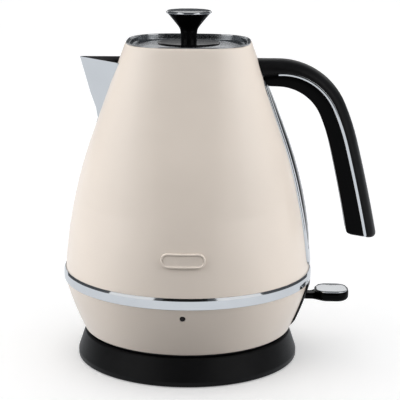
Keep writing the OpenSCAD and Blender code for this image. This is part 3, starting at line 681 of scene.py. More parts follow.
def build_body():
    """Painted shell with a rolled rim, open towards the spout and the gauge."""
    rim, wall = mm("rim_z"), mm("wall")
    roll = 1.3
    rows, inner_rows = 84, 30
    outside = [(SHELL_FOOT + (rim - roll - SHELL_FOOT) * i / rows, 0.0) for i in range(rows + 1)]
    arc = [radians(15 * k) for k in range(1, 6)]
    over = [(rim - roll + roll * sin(a), roll * (cos(a) - 1)) for a in arc]
    deep = rim - 2 - SHELL_FOOT
    inside = [(rim - 0.4, -wall - 0.15)]
    inside += [(rim - 2 - deep * i / inner_rows, -wall) for i in range(inner_rows + 1)]
    rings = []
    for z, off in outside + over + inside:
        level = min(z, rim)
        rings.append(rounded_square(body_at(level) + off, power_at(level), z))
    shell = mesh_object("body_shell_painted", loft(rings, loop=True))
    low, top = mm("spout_top") - SPOUT_H, mm("spout_top")
    wedge = []
    near = body_at(top) - SPOUT_HOLE_DEEP
    for z in (low + SPOUT_HOLE_FOOT, top - SPOUT_HOLE_TOP):
        edge = spout_edge(z) - SPOUT_HOLE_EDGE
        half = spout_slope() * (edge - near)
        wedge.append([(-edge, 0, z), (-near, half, z), (-near, -half, z)])
    cut(shell, [loft(wedge), box(*GAUGE_SLOT)])
    place(shell, finish("cream"), "kettle", ["body_shell"])


def build_rim_ring():
    """Chrome lip and sleeve that line the mouth."""
    rim, wall = mm("rim_z"), mm("wall")
    outer = mm("mouth_w") - wall - 0.1
    thick, proud, ledge, deep = 1, 0.8, 3.3, 9.1
    line = rounded(
        [
            (outer + 0.75, rim + 0.15, 0.2), (outer + 0.6, rim + proud, 0.35),
            (outer - thick, rim + proud, 0.3), (outer - thick, rim - deep + thick),
            (outer - ledge, rim - deep + thick, 0.3), (outer - ledge, rim - deep, 0.3),
            (outer, rim - deep, 0.3), (outer, rim + 0.15, 0.1),
        ],
        4,
    )
    rings = [rounded_square(w, MOUTH_POWER, z) for w, z in line]
    ring = mesh_object("rim_lip", loft(rings, loop=True))
    place(ring, finish("chrome"), "kettle", ["rim_ring"])


def build_trim_ring():
    """Chrome band between body and skirt, with a bevelled upper edge."""
    r, z, band, body = mm("ring_r"), mm("ring_z"), mm("ring_band"), mm("body_r")
    tuck, bevel, ledge = 4, 1.5, 2.9
    line = rounded(
        [
            (body - tuck, z), (r - 0.35, z, 0.3), (r - 0.1, z + 0.5, 0.5), (r, z + 0.5 * band, 8),
            (r - 0.12, z + band - 0.3, 0.45), (body + 0.35, z + band + bevel - 0.05, 0.25),
            (body + 0.2, z + band + bevel), (body + 0.2, z + ledge), (body - tuck, z + ledge),
        ],
        6,
    )
    ring = mesh_object("trim_band", lathe(line, 256), sharp=50)
    place(ring, finish("chrome"), "kettle", ["trim_ring"])


LAMP_DROP = 7.1
LAMP_R = 1.85
LEVER_DROP = 15
PIVOT_SET = 11.5
# The lever's slot: half width, depth below the lever and height above it
SLOT = (6.5, 5.82, 3.2)


def lever_opening():
    """Cutter for the slot that the lever's arm passes through."""
    z = mm("ring_z") - LEVER_DROP
    start_x = skirt_at(z) - 7.5
    half, down, up = SLOT
    return box((start_x, -half, z - down), (start_x + 40, half, z + up))


def build_skirt():
    """Painted skirt with its lever slot and lamp hole."""
    top, height = mm("ring_z"), mm("skirt_h")
    low = top - height
    rows = 36
    outer = [(skirt_at(low + height * i / rows), low + height * i / rows) for i in range(1, rows)]
    inner = [(skirt_at(low + height * i / 12) - 2, low + height * i / 12) for i in range(12, 0, -1)]
    corners = [inner[-1], (skirt_at(low) - 4.4, low), (skirt_at(low), low, 0.7), outer[0]]
    foot = rounded(corners, 5, closed=False)
    line = foot[1:-1] + outer + [(skirt_at(top), top)] + inner
    skirt = mesh_object("skirt_painted", lathe(line, 256), sharp=45)
    lamp = rod((0, -60, top - LAMP_DROP), (0, -100, top - LAMP_DROP), LAMP_R + 0.2)
    cut(skirt, [lever_opening(), lamp], sharp=45)
    place(skirt, finish("cream"), "kettle", ["skirt"])

    low, high, steps, half = low + 5, top - 0.4, 30, radians(14)
    outer, inner = [], []
    for k in range(steps + 1):
        a = -half + 2 * half * k / steps
        side = 1.5 * min(1.0, 0.35 + sqrt(max(0.0, 1 - ((abs(a) / half) ** 12))))
        column_out, column_in = [], []
        for i in range(steps + 1):
            z = low + (high - low) * i / steps
            upper = min(1.0, 0.3 + sqrt(min(1.0, 5 * (1 - i / steps))))
            proud = side * upper * min(1.0, 0.4 + 6 * i / steps)
            for r, column in ((skirt_at(z) + 0.1 + proud, column_out), (skirt_at(z) + 0.1, column_in)):
                column.append((r * cos(a), r * sin(a), z))
        outer.append(column_out)
        inner.append(column_in)
    panel = mesh_object("rear_panel_gloss", sheet(outer, inner), sharp=40)
    cut(panel, [lever_opening()], sharp=40)
    place(panel, finish("gloss black"), "kettle", ["rear_panel"])


def build_lamp():
    """Domed lens of the lamp in its hole under the trim ring."""
    z = mm("ring_z") - LAMP_DROP
    front = skirt_at(z)
    corners = [(0, 4), (LAMP_R, 4), (LAMP_R, 0.35, 0.3), (1.2, -0.05, 1.0), (0, -0.1)]
    lens = shifted(
        lathe(rounded(corners, 5, closed=False), 48, closed=False),
        Matrix.Translation((0, -front, z)) @ Matrix.Rotation(radians(-90), 4, "X"),
    )
    lamp = mesh_object("lamp_dome", lens)
    place(lamp, finish("lamp"), "kettle", ["lamp_lens"])


# ---- Spout ----

SHEET_T = 1.2
FLANGE = 1.9
FLANGE_T = 0.5
NOSE_R = 1.7
SPOUT_SAG = 2.2


def flank_meets(z, edge, off):
    """Where a flank from the edge meets the skin stood off by off: distance out and sideways."""
    slope, w, power = spout_slope(), body_at(z) + off, power_at(z)
    low, high = 0.0, edge
    for _ in range(40):
        t = (low + high) / 2
        inside = (abs(edge - t) / w) ** power + (slope * t / w) ** power < 1
        low, high = (low, t) if inside else (t, high)
    return edge - low, slope * low


def build_spout():
    """V-shaped spout of folded sheet with a narrow flange on the body."""
    top = mm("spout_top")
    low = top - SPOUT_H
    inset = SHEET_T * sqrt(1 + 1 / spout_slope() ** 2)
    flank, lap = 12, 3
    outer, inner = [], []
    heights = [low - 2.5 + 2.5 * k / 4 for k in range(4)]
    heights += [low + SPOUT_H * (k / 40) ** 1.2 for k in range(41)]
    beyond = NOSE_R * (sqrt(1 + 1 / spout_slope() ** 2) - 1)
    lean = atan(spout_slope())
    for z in heights:
        foot = z - SPOUT_SAG * max(0.0, (z - low) / SPOUT_H) ** 3
        w = body_at(foot)
        reach = max(spout_edge(z), body_at(z) + 0.01)
        reach += beyond * min(1.0, (reach - body_at(z)) / 12)
        fade = min(1.0, max(0.05, (z - low + 3.0) / 4))
        out_x, out_y = flank_meets(foot, reach + 0.01, FLANGE_T)
        in_edge = max(reach - inset, w + 0.005)
        in_x, in_y = flank_meets(foot, in_edge, 0.05)
        nose = min(NOSE_R, 0.3 * (reach - out_x)) if reach > out_x else 0.0
        centre = reach - nose * sqrt(1 + 1 / spout_slope() ** 2)
        turns = [lean + (pi / 2 - lean) * k / 6 for k in range(7)]
        fold = [(-(centre + nose * sin(a)), nose * cos(a), z) for a in turns]
        end_x, end_y = -fold[0][0], fold[0][1]
        half_out, half_in = [], []
        for k in range(lap):
            y = out_y + 0.05 + FLANGE * fade * (1 - k / lap)
            drop = FLANGE_T if k else 0.12
            half_out.append((-skin_at(y, foot, drop), y, foot))
            half_in.append((-skin_at(y, foot, 0.02), y, foot))
        for k in range(flank):
            t = k / flank
            level = foot + (z - foot) * t
            half_out.append((-(out_x + (end_x - out_x) * t), out_y + (end_y - out_y) * t, level))
            half_in.append((-(in_x + (in_edge - in_x) * t), in_y * (1 - t), level))
        half_out += fold
        half_in += [(-in_edge, 0.0, z)] * len(fold)
        outer.append(half_out + [(x, -y, h) for x, y, h in reversed(half_out[:-1])])
        inner.append(half_in + [(x, -y, h) for x, y, h in reversed(half_in[:-1])])
    spout = mesh_object("spout_sheet", sheet(outer, inner), sharp=30)
    soften(spout, 0.3, 50)
    place(spout, finish("chrome"), "kettle", ["spout"])
    # The spout's inner faces take the steel with painted shade: its near-black colour stands in for the
    # shadow inside the spout
    spout.data.materials.append(finish("steel with painted shade"))
    for face in spout.data.polygons:
        side = 1 if face.center.y > 0 else -1
        if face.normal.y * side < -0.1 or face.normal.x > 0.3:
            face.material_index = 1


# ---- Handle ----

HANDLE_DROP = 11.6
HANDLE_END = 90.8
LEVEL_RUN = 15
BEND_R = 53
# How far the handle turns down in its bend, in the easing below it and along the grip, in degrees
BEND_TURN, EASE_TURN, GRIP_TURN = 66, 9.5, 3.3
EASE_L = 30
# Heading of the grip half way down, in degrees below level
GRIP_HEADING = 77.2
ROOT_THIN = 3
END_RISE = 3.8
STRIPE_ROOT, STRIPE_END, STRIPE_SETTLE = 10.9, 8.5, 60
GROOVE = 1.0
END_ROUND = 4.0


def along(station, length, turn):
    """The next station [x, z, heading below level in degrees, distance] after a length and a turn."""
    x, z, heading, gone = station
    chord = length if turn == 0 else length * sin(radians(turn / 2)) / radians(turn / 2)
    mid = radians(heading + turn / 2)
    return [x + chord * cos(mid), z - chord * sin(mid), heading + turn, gone + length]


def handle_path():
    """Stations along the handle's outer edge, from the end of its level root."""
    top = mm("rim_z") - HANDLE_DROP
    path = [along([body_at(top) + 0.2, top, 0, 0], LEVEL_RUN, 0)]
    for length, turn, steps in ((BEND_R * radians(BEND_TURN), BEND_TURN, 36), (EASE_L, EASE_TURN, 12)):
        begin = path[-1]
        path += [along(begin, length * k / steps, turn * k / steps) for k in range(1, steps + 1)]
    begin = path[-1]
    grip = (begin[1] - HANDLE_END) / sin(radians(GRIP_HEADING))
    cuts = [k / 24 for k in range(1, 23)] + [
        1 - END_ROUND / grip * (1 - sin(radians(a))) for a in (0, 18, 36, 54, 72, 90)
    ]
    path += [along(begin, grip * f, GRIP_TURN * f) for f in sorted(cuts) if f > 0]
    return path


def handle_rings(section, gap):
    """Rings of points along the handle from a function that gives the section at a stripe depth."""
    path = handle_path()
    length = path[-1][3]
    top, half, full = mm("rim_z") - HANDLE_DROP, mm("handle_w") / 2, mm("handle_t")
    slant = tan(radians(90 - path[-1][2])) + END_RISE / full
    rings = [[(skin_at(v, top - u, gap), v, top - u) for u, v in section(STRIPE_ROOT, full - ROOT_THIN)]]
    for x, z, heading, gone in path:
        thick = full - ROOT_THIN * (1 - gone / length)
        depth = STRIPE_END + (STRIPE_ROOT - STRIPE_END) * max(0.0, 1 - gone / STRIPE_SETTLE) ** 2
        left = length - gone
        shrink = 0.0
        if left < END_ROUND:
            shrink = END_ROUND - sqrt(max(0.0, END_ROUND**2 - (END_ROUND - left) ** 2))
        level = max(0.0, 1 - left / 20)
        a = radians(heading)
        ring = []
        for u, v in section(depth, thick):
            u = thick / 2 + (u - thick / 2) * (1 - shrink / (thick / 2))
            v = v * (1 - shrink / half)
            back = u * slant * level
            ring.append((x - u * sin(a) - back * cos(a), v, z - u * cos(a) + back * sin(a)))
        rings.append(ring)
    return rings


def rail_section(depth, _):
    """Section of the outer rail: a rounded back, and steps that leave room for the stripe."""
    w, e = mm("handle_w") / 2, depth - mm("stripe_w") / 2 - 0.1
    v = w - GROOVE
    back = [(6.8 * (1 - sin(radians(a))), -w * cos(radians(a))) for a in range(0, 181, 7)]
    head = rounded([(depth - 0.05, -v), (e, -v), (e, -w, 0.3), back[0]], 3, closed=False)
    tail = rounded([back[-1], (e, w, 0.3), (e, v), (depth - 0.05, v)], 3, closed=False)
    return head[:-1] + back + tail[1:]


def web_section(depth, thick):
    """Section of the inner web, down to its softly rounded inner edges."""
    w, e = mm("handle_w") / 2, depth + mm("stripe_w") / 2 + 0.1
    v = w - GROOVE
    return rounded(
        [
            (depth + 0.05, v), (e, v), (e, w, 0.3), (thick, w, 2.2), (thick, -w, 2.2), (e, -w, 0.3),
            (e, -v), (depth + 0.05, -v),
        ],
        5,
    )


def stripe_section(depth, side):
    """Section of a stripe on one side, standing slightly proud."""
    w, half = mm("handle_w") / 2, mm("stripe_w") / 2
    v = w - GROOVE + 0.05
    return rounded(
        [
            (depth - half, side * v), (depth - half, side * (w + 0.02), 0.35),
            (depth, side * (w + 0.12), 2),
            (depth + half, side * (w + 0.02), 0.35), (depth + half, side * v),
        ],
        4,
    )


def build_handle():
    """Rail, web and the two chrome stripes between them."""
    rail = mesh_object("handle_back", loft(handle_rings(rail_section, 0.2)), sharp=40)
    place(rail, finish("grip"), "kettle", ["handle_rail"])
    web = mesh_object("handle_inner", loft(handle_rings(web_section, 1.5)), sharp=40)
    place(web, finish("gloss black"), "kettle", ["handle_web"])
    sides = []
    for side in (-1, 1):
        rings = handle_rings(lambda depth, _, side=side: stripe_section(depth, side), 0.2)
        sides.append(loft(rings[1:]))
    stripes = mesh_object("handle_stripe_pair", joined(*sides), sharp=40)
    place(stripes, finish("chrome"), "kettle", ["handle_stripes"])


# ---- Level gauge ----

BEZEL_PROUD = 1.3
GAUGE_LOW, GAUGE_HIGH, GAUGE_CORNER = 70.8, 209, 11
WINDOW_LOW, WINDOW_HIGH, WINDOW_HALF = 83.8, 203, 13.5
WINDOW_BULGE = 1.4
MARK_LOW, MARK_STEP, MARKS = 100, 12.5, 8


def frame_line(half, low, high, r, up=60, over=20, corner=12):
    """Stations (across, height) round a rounded rectangle."""
    tall, wide = high - low - 2 * r, 2 * (half - r)
    line = [(half, low + r + tall * k / up) for k in range(up)]
    turn = [pi / 2 * k / corner for k in range(corner + 1)]
    line += [(half - r + r * cos(a), high - r + r * sin(a)) for a in turn]
    line += [(half - r - wide * k / over, high) for k in range(1, over)]
    line += [(r - half - r * sin(a), high - r + r * cos(a)) for a in turn]
    line += [(-half, high - r - tall * k / up) for k in range(1, up)]
    line += [(r - half - r * cos(a), low + r - r * sin(a)) for a in turn]
    line += [(r - half + wide * k / over, low) for k in range(1, over)]
    line += [(half - r + r * sin(a), low + r - r * cos(a)) for a in turn[:-1]]
    return line


def build_gauge():
    """Chrome bezel, smoked window and level marks on the rear of the body."""
    outer = frame_line(mm("bezel_half"), GAUGE_LOW, GAUGE_HIGH, GAUGE_CORNER)
    inner = frame_line(WINDOW_HALF, WINDOW_LOW, WINDOW_HIGH, 0.6)
    across = [
        (0, 0.05), (0, 0.7), (0.04, 1.05), (0.1, 1.25), (0.3, BEZEL_PROUD), (0.8, BEZEL_PROUD),
        (0.93, 1.2), (0.98, 0.95), (1, 0.5), (1, 0.05),
    ]
    rings = []
    for (y0, z0), (y1, z1) in zip(outer, inner):
        ring = []
        for share, off in across:
            y, z = y0 + (y1 - y0) * share, z0 + (z1 - z0) * share
            ring.append((skin_at(y, z) + off, y, z))
        rings.append(ring)
    bezel = mesh_object("gauge_frame", loft(rings, loop=True), sharp=45)
    place(bezel, finish("chrome"), "kettle", ["gauge_bezel"])

    half, low, high = WINDOW_HALF - 0.25, WINDOW_LOW + 0.25, WINDOW_HIGH - 0.25
    rows, columns = 70, 16
    front, back = [], []
    for i in range(rows + 1):
        z = low + (high - low) * i / rows
        front_row, back_row = [], []
        for j in range(columns + 1):
            y = -half + 2 * half * j / columns
            edge = min(1.0, 0.45 + sqrt(max(0.0, 1 - (abs(y) / half) ** 16)))
            edge *= min(1.0, 0.5 + 8 * min(i, rows - i) / rows)
            bulge = WINDOW_BULGE * sin(pi * i / rows) ** 0.7 * (1 - (y / half) ** 4)
            front_row.append((skin_at(y, z) + 0.55 + 0.65 * edge + bulge, y, z))
            back_row.append((skin_at(y, z) + 0.5, y, z))
        front.append(front_row)
        back.append(back_row)
    window = mesh_object("gauge_glass", sheet(front, back), sharp=50)
    place(window, finish("window"), "kettle", ["gauge_window"])

    marks = []
    for k in range(MARKS):
        z = MARK_LOW + MARK_STEP * k
        wide = 7 if k % 2 else 11
        rows = []
        swell = 1.2 + WINDOW_BULGE * sin(pi * (z - low) / (high - low)) ** 0.7
        for off in (swell - 0.1, swell + 0.06):
            rows.append([
                [(skin_at(y, h) + off, y, h) for y in (-wide / 2 + wide * j / 4 for j in range(5))]
                for h in (z - 0.35, z + 0.35)
            ])
        marks.append(sheet(rows[1], rows[0]))
    lines = mesh_object("level_marks", joined(*marks))
    place(lines, finish("print"), "kettle", [])


# ---- Badge ----

BADGE_L, BADGE_H, BADGE_UP = 30.9, 10, 33.8


def build_badge():
    """Blank pill-shaped badge with a raised border, bent to the body's front."""
    middle = mm("ring_z") + BADGE_UP
    steps = 20
    levels = [
        (0, 0.05), (0, 1.2), (0.12, 1.45), (0.35, 1.6), (0.95, 1.6), (1.2, 1.45), (1.35, 1.1),
        (1.5, 0.92), (2.4, 0.95), (3.8, 1.0), (5.0, 1.02),
    ]
    rings = []
    for inset, off in levels:
        r, straight = BADGE_H / 2 - inset, (BADGE_L - BADGE_H) / 2
        ring = []
        for side in (1, -1):
            for k in range(steps + 1):
                a = side * pi / 2 - pi * k / steps
                ring.append((side * straight + r * cos(a), r * sin(a)))
            ring += [(side * straight * (1 - 2 * k / 12), -side * r) for k in range(1, 12)]
        rings.append([(x, -skin_at(x, middle + h, off), middle + h) for x, h in ring])
    badge = mesh_object("badge_plate", loft(rings), sharp=50)
    place(badge, finish("badge"), "kettle", ["badge"])


# ---- Lever ----


def build_lever():
    """Rocking lever: hub, arm that swells into a paddle, and its domed chrome cap."""
    z = mm("ring_z") - LEVER_DROP
    pivot_x = skirt_at(z) - PIVOT_SET
    low, high, corner = z - 2.2, z + 4.6, 9
    near = skirt_at(z) + 8.8
    mid_x, half_x, half_y = near + mm("paddle_l") / 2, mm("paddle_l") / 2, 12.5

    def outline(inset, height):
        r = corner - inset
        ring = []
        for qx, qy, begin in ((1, 1, 0), (-1, 1, 90), (-1, -1, 180), (1, -1, 270)):
            for k in range(9):
                a = radians(begin + 90 * k / 8)
                x, y = mid_x + qx * (half_x - corner), qy * (half_y - corner)
                ring.append((x + r * cos(a), y + r * sin(a), height))
        return ring

    belly = 3.2
    turns = [radians(a) for a in (20, 40, 60, 75, 90)]
    rings = [outline(belly, low)]
    rings += [outline(belly - belly * sin(a), low + belly * (1 - cos(a))) for a in turns]
    rings += [outline(0, high - 0.6), outline(0.2, high - 0.15), outline(0.6, high)]
    paddle = loft(rings)
    # The arm's stations: distance out, half width, half height and how far it is lifted
    sections = [
        (pivot_x + 2, 4.9, 2.2, 0), (near - 3.5, 4.9, 2.2, 0), (near - 1.5, 5.1, 2.3, 0.1),
        (near + 0.8, 6.2, 2.7, 0.5), (near + 3.2, 8.4, 3.1, 0.9), (near + 6, 9.5, 3.2, 1.1),
    ]
    arm = []
    for x, wide, tall, lift in sections:
        line = rounded([(-wide, -tall, 1.3), (wide, -tall, 1.3), (wide, tall, 1.3), (-wide, tall, 1.3)], 5)
        arm.append([(x, y, z + lift + h) for y, h in line])
    hub = shifted(
        lathe(rounded([(1.56, -7.6), (4, -7.6, 0.4), (4, 7.6, 0.4), (1.56, 7.6)], 4), 64),
        Matrix.Translation((pivot_x, 0, z)) @ Matrix.Rotation(radians(90), 4, "X"),
    )
    tab_x = (pivot_x + 46) / 2 + 0.5
    tab = box((tab_x, -4, z - 1.5), (pivot_x - 2.5, 4, z + 1.5))
    lever = mesh_object("lever_paddle", joined(paddle, loft(arm), hub, tab), sharp=35)
    place(lever, finish("gloss black"), "lever", ["switch_lever"])

    rings = [outline(1.15, high + 0.02), outline(1.1, high + 0.5)]
    turns = [radians(a) for a in (25, 50, 75)]
    rings += [outline(1.1 + 0.6 * (1 - cos(a)), high + 0.5 + 0.5 * sin(a)) for a in turns]
    for k in range(1, 8):
        share = 1 - k / 8
        crown = high + 1.0 + 0.22 * (1 - share**2)
        rings.append([(mid_x + (x - mid_x) * share, y * share, crown) for x, y, _ in outline(1.7, 0)])
    cap = mesh_object("lever_cap_domed", loft(rings), sharp=40)
    place(cap, finish("chrome"), "lever", ["lever_cap"])


# ---- Lid ----

DOME_DROP = 1.4
CAP_T = 2.2
KNOB_H = 22.2
STEM_R, WAIST, WAIST_ROUND = 5.7, 0.46, 0.0093


def trumpet(share):
    """Growth of the knob's radius with height: none in the stem, steady above its waist."""
    return sqrt((share - WAIST) ** 2 + WAIST_ROUND) + share - WAIST


def build_lid():
    """Pressed dish, plug, disc, trumpet knob and its chrome cap."""
    rim = mm("rim_z")
    dish_w = mm("mouth_w") - mm("wall") - 1.4
    floor, dome = rim - 3.8, rim - DOME_DROP
    disc_r, knob_r = mm("disc_r"), mm("knob_r")

    def ring(w, z):
        share = max(0.0, min(1.0, (w - disc_r - 1) / (dish_w - disc_r - 5)))
        return rounded_square(w, 2 + (MOUTH_POWER - 2) * share * share * (3 - 2 * share), z)

    side = rounded(
        [
            (dish_w - 1.0, floor - 1.0, 1.0), (dish_w, floor - 1.0, 1.3), (dish_w, rim + 0.2, 0.4),
            (dish_w - 0.9, rim + 0.2, 0.4), (dish_w - 0.9, floor, 1.6), (dish_w - 5, floor + 0.15),
        ],
        5,
        closed=False,
    )
    run = dish_w - 5 - disc_r - 1
    low, count = floor + 0.15, 14
    rise = [(k / count, sin(pi / 2 * k / count)) for k in range(1, count + 1)]
    crown = [(dish_w - 5 - run * out, low + (dome - low) * up) for out, up in rise]
    under = [(2, dome), (2, dome - 1)] + [(w, z - 1.0) for w, z in reversed(crown)]
    line = side + crown + under
    dish = mesh_object("lid_pressing", loft([ring(w, z) for w, z in line], loop=True), sharp=40)
    place(dish, finish("satin steel"), "lid", ["lid_dish"])

    plug_w, low, high, wall = dish_w - 2.7, rim - 17.9, rim - 4.9, 1.4
    line = rounded(
        [
            (0, low), (plug_w, low, 1.2), (plug_w, high, 0.2), (plug_w - wall, high, 0.2),
            (plug_w - wall, low + wall, 0.8), (0, low + wall),
        ],
        5,
        closed=False,
    )
    rings = [rounded_square(max(w, 0.01), MOUTH_POWER, z) for w, z in line]
    plug = mesh_object("lid_plug", loft(rings), sharp=40)
    place(plug, finish("inner steel"), "lid", ["lid_liner"])

    corners = [(0, 0.02), (disc_r, 0.02, 0.15), (disc_r, 0.6, 0.45), (disc_r - 1.1, 1.12, 1.2), (0, 1.2)]
    line = [(r, dome + h) for r, h in rounded(corners, 5, closed=False)]
    disc = mesh_object("knob_rose", lathe(line, closed=False), sharp=50)
    place(disc, finish("phenolic"), "lid", ["knob_disc"])

    foot, top = dome + 1.2, rim + KNOB_H - CAP_T
    steps, spread = 44, (knob_r - 1.2 - STEM_R) / trumpet(1)
    shares = [k / steps for k in range(steps + 1)]
    flare = [(STEM_R + spread * trumpet(share), foot + (top - foot) * share) for share in shares]
    line = [(0, foot)] + flare + [(0, top)]
    knob = mesh_object("knob_trumpet", lathe(line, closed=False), sharp=50)
    place(knob, finish("phenolic"), "lid", ["knob"])

    corners = [
        (0, 0.02), (knob_r - 0.6, 0.02, 0.2), (knob_r, 0.75, 0.3), (knob_r - 0.85, CAP_T - 0.12, 0.35),
        (0, CAP_T, 40),
    ]
    line = [(r, top + h) for r, h in rounded(corners, 6, closed=False)]
    cap = mesh_object("knob_cap_plated", lathe(line, closed=False), sharp=50)
    place(cap, finish("chrome"), "lid", ["knob_cap"])


# ---- Power base ----

BASE_FLARE = 5
FOOT_H = 0.6
BASE_WALL = 2.2
POST_R, POST_UP = 15, 13
SLOT_RADII, SLOT_HALF = (10.2, 5.7), 1.1
GLAND_Z, GLAND_R, GLAND_L, CORD_R = 10.5, 5.4, 12.5, 3.6
FOOT_OUT, FOOT_IN, FOOT_TOP = 72, 67, 2.4


def build_base():
    """Base housing, centre connector, cord gland and foot ring."""
    r, h = mm("base_r"), mm("base_h")
    top_r, foot, wall, hole = r - BASE_FLARE, FOOT_H, BASE_WALL, POST_R + 0.1
    line = rounded(
        [
            (r - wall, foot), (r, foot, 0.5), (r, foot + 3.5, 2.5), (top_r, h - 1.0, 0.7),
            (top_r - 1.0, h, 0.7), (top_r - 4.5, h, 0.3), (top_r - 5.3, h - 0.35, 0.3),
            (hole + 6, h - 0.35, 0.3), (hole + 5, h, 0.3), (hole, h, 0.2), (hole, h - wall),
            (top_r - wall, h - wall, 1), (r - wall, foot + 3.5, 1),
        ],
        5,
    )
    housing = mesh_object("base_shell", lathe(line, 256), sharp=60)
    cut(housing, [rod((0, r - 12, GLAND_Z), (0, r + 12, GLAND_Z), GLAND_R + 0.1)], sharp=60)
    place(housing, finish("satin black"), "power_base", ["base_housing"])

    under, top, flange, bottom = h - 2.3, h + POST_UP, h - 4.8, h - 2
    line = [(0, flange), (20, flange), (20, under), (POST_R, under), (POST_R, top, 1.2)]
    for slot_r in SLOT_RADII:
        far, near = slot_r + SLOT_HALF, slot_r - SLOT_HALF
        line += [(far, top, 0.4), (far, bottom), (near, bottom), (near, top, 0.4)]
    line += [(2.2, top, 0.4), (2.2, bottom), (0, bottom)]
    line = rounded(line, 4, closed=False)
    post = mesh_object("base_connector_post", lathe(line, closed=False), sharp=50)
    place(post, finish("satin black"), "power_base", ["base_connector"])

    lip = GLAND_R + 1
    line = [
        (CORD_R, -GLAND_L, 0.2), (GLAND_R, -GLAND_L, 0.3), (GLAND_R, -2, 0.3), (lip, -2, 0.3),
        (lip, -0.9, 0.5), (lip - 0.8, 0, 0.5), (CORD_R + 0.3, 0, 0.3), (CORD_R, -0.5),
    ]
    gland = shifted(
        lathe(rounded(line, 4), 96),
        Matrix.Translation((0, r + 2, GLAND_Z)) @ Matrix.Rotation(radians(-90), 4, "X"),
    )
    bush = mesh_object("cord_bush", gland, sharp=50)
    place(bush, finish("rubber"), "power_base", ["cord_gland"])

    line = [(FOOT_OUT, 0, 0.5), (FOOT_OUT, FOOT_TOP), (FOOT_IN, FOOT_TOP), (FOOT_IN, 0, 0.5)]
    feet = mesh_object("foot_ring_moulded", lathe(rounded(line, 4)), sharp=50)
    place(feet, finish("rubber"), "power_base", ["base_foot_ring"])


# ---- Pieces kept from the CAD model ----

KEPT = {
    "grey": ["base_bottom_plate", "bottom_cover", "connector_socket", "chassis", "contact_carrier"],
    "zinc": [
        "base_screws", "bottom_screws", "handle_bracket", "handle_screws", "lever_pin", "toggle_pin",
        "knob_screw",
    ],
    "brass": ["base_contacts", "contact_rings", "bimetal_discs"],
    "nylon": ["control_housing", "control_toggle", "lamp_holder", "filter_frame"],
    "aluminium": ["heat_spreader"],
    "inner steel": ["heating_element", "floor_plate", "steam_tube"],
    "satin steel": ["filter_mesh"],
    "silicone": ["gauge_seal", "lid_seal"],
}


def finish_kept():
    """Gives every CAD node that stays in view its material."""
    for name, nodes in KEPT.items():
        for node in nodes:
            kept = frame["nodes"][node]
            kept.data.materials.clear()
            kept.data.materials.append(finish(name))


# ---- Table, lights and camera ----

CAMERA_PLACE = (8.8, -991.1, 348.7)
CAMERA_PITCH, CAMERA_ROLL, CAMERA_TURN = 13.21, 0.4, 1.7
CAMERA_LENS = 124.5
# Strengths of what lights the kettle and the table, and of what the chrome mirrors
WALL_LIGHT = 0.1
TABLE_GLOW = 0.3
TABLE_LIGHT = 2.3
TABLE_MIRRORED = 0.85
BACK_CARD = 0.85
SIDE_CARD = 0.9
SIDE_POWER = (33, 31)
OVERHEAD = 1.5
TABLE_HALF, TABLE_TILES = 4000, 16
SURROUND = ((-6000, -6000, -3000), (6000, 6000, 6000))
BACK_CARD_BOX = ((-1600, 2200, 600), (1600, 2210, 1500))
DARK_CARD_BOX = ((-900, -2300, -300), (900, -2290, 2300))
SIDE_CARD_BOX, SIDE_CARD_TURN = ((-900, 2190, -200), (900, 2200, 3300)), 128


def softbox(name, place_m, width, height, power, aim=(0, 0, 0.12)):
    """A rectangular area light that faces the kettle."""
    lamp = bpy.data.lights.new(name, "AREA")
    lamp.shape, lamp.size, lamp.size_y, lamp.energy = "RECTANGLE", width, height, power
    made = bpy.data.objects.new(name, lamp)
    made.location = place_m
    made.rotation_mode = "QUATERNION"
    made.rotation_quaternion = (Vector(aim) - Vector(place_m)).to_track_quat("-Z", "Y")
    made.visible_glossy = False
    bpy.context.scene.collection.objects.link(made)
    return made


def overhead(name, energy):
    """A wide soft light from straight above that leaves no highlights."""
    sky = bpy.data.lights.new(name, "SUN")
    sky.energy, sky.angle = energy, radians(110)
    made = bpy.data.objects.new(name, sky)
    made.visible_glossy = False
    bpy.context.scene.collection.objects.link(made)
    return made


def lit_by(name, piece, state):
    """Light-linking collection that takes one piece in or leaves it out."""
    made = bpy.data.collections.new(name)
    made.objects.link(piece)
    made.collection_objects[0].light_linking.link_state = state
    return made


def stage_piece(name, part, material, camera=False, mirror=False, bounce=False):
    """A piece of the studio, seen by the camera, in mirror images or in the light that bounces off it."""
    made = mesh_object(name, part)
    made.data.materials.append(material)
    made.visible_camera, made.visible_diffuse = camera, bounce
    made.visible_glossy = made.visible_transmission = mirror
    made.visible_shadow = False
    return made


def glowing(name, colour, strength):
    """A surface that gives off an even light, such as a lit card."""
    made, shader = new_material(name, (0, 0, 0), roughness=1.0)
    shader.inputs["Emission Color"].default_value = (*colour, 1)
    shader.inputs["Emission Strength"].default_value = strength
    return made


def table_top(z):
    """Points and faces of a wide flat table top in square tiles."""
    n = TABLE_TILES + 1
    steps = [-TABLE_HALF + 2 * TABLE_HALF * i / TABLE_TILES for i in range(n)]
    points = [(x, y, z) for y in steps for x in steps]
    corners = [j * n + i for j in range(TABLE_TILES) for i in range(TABLE_TILES)]
    return points, [(a, a + 1, a + n + 1, a + n) for a in corners]


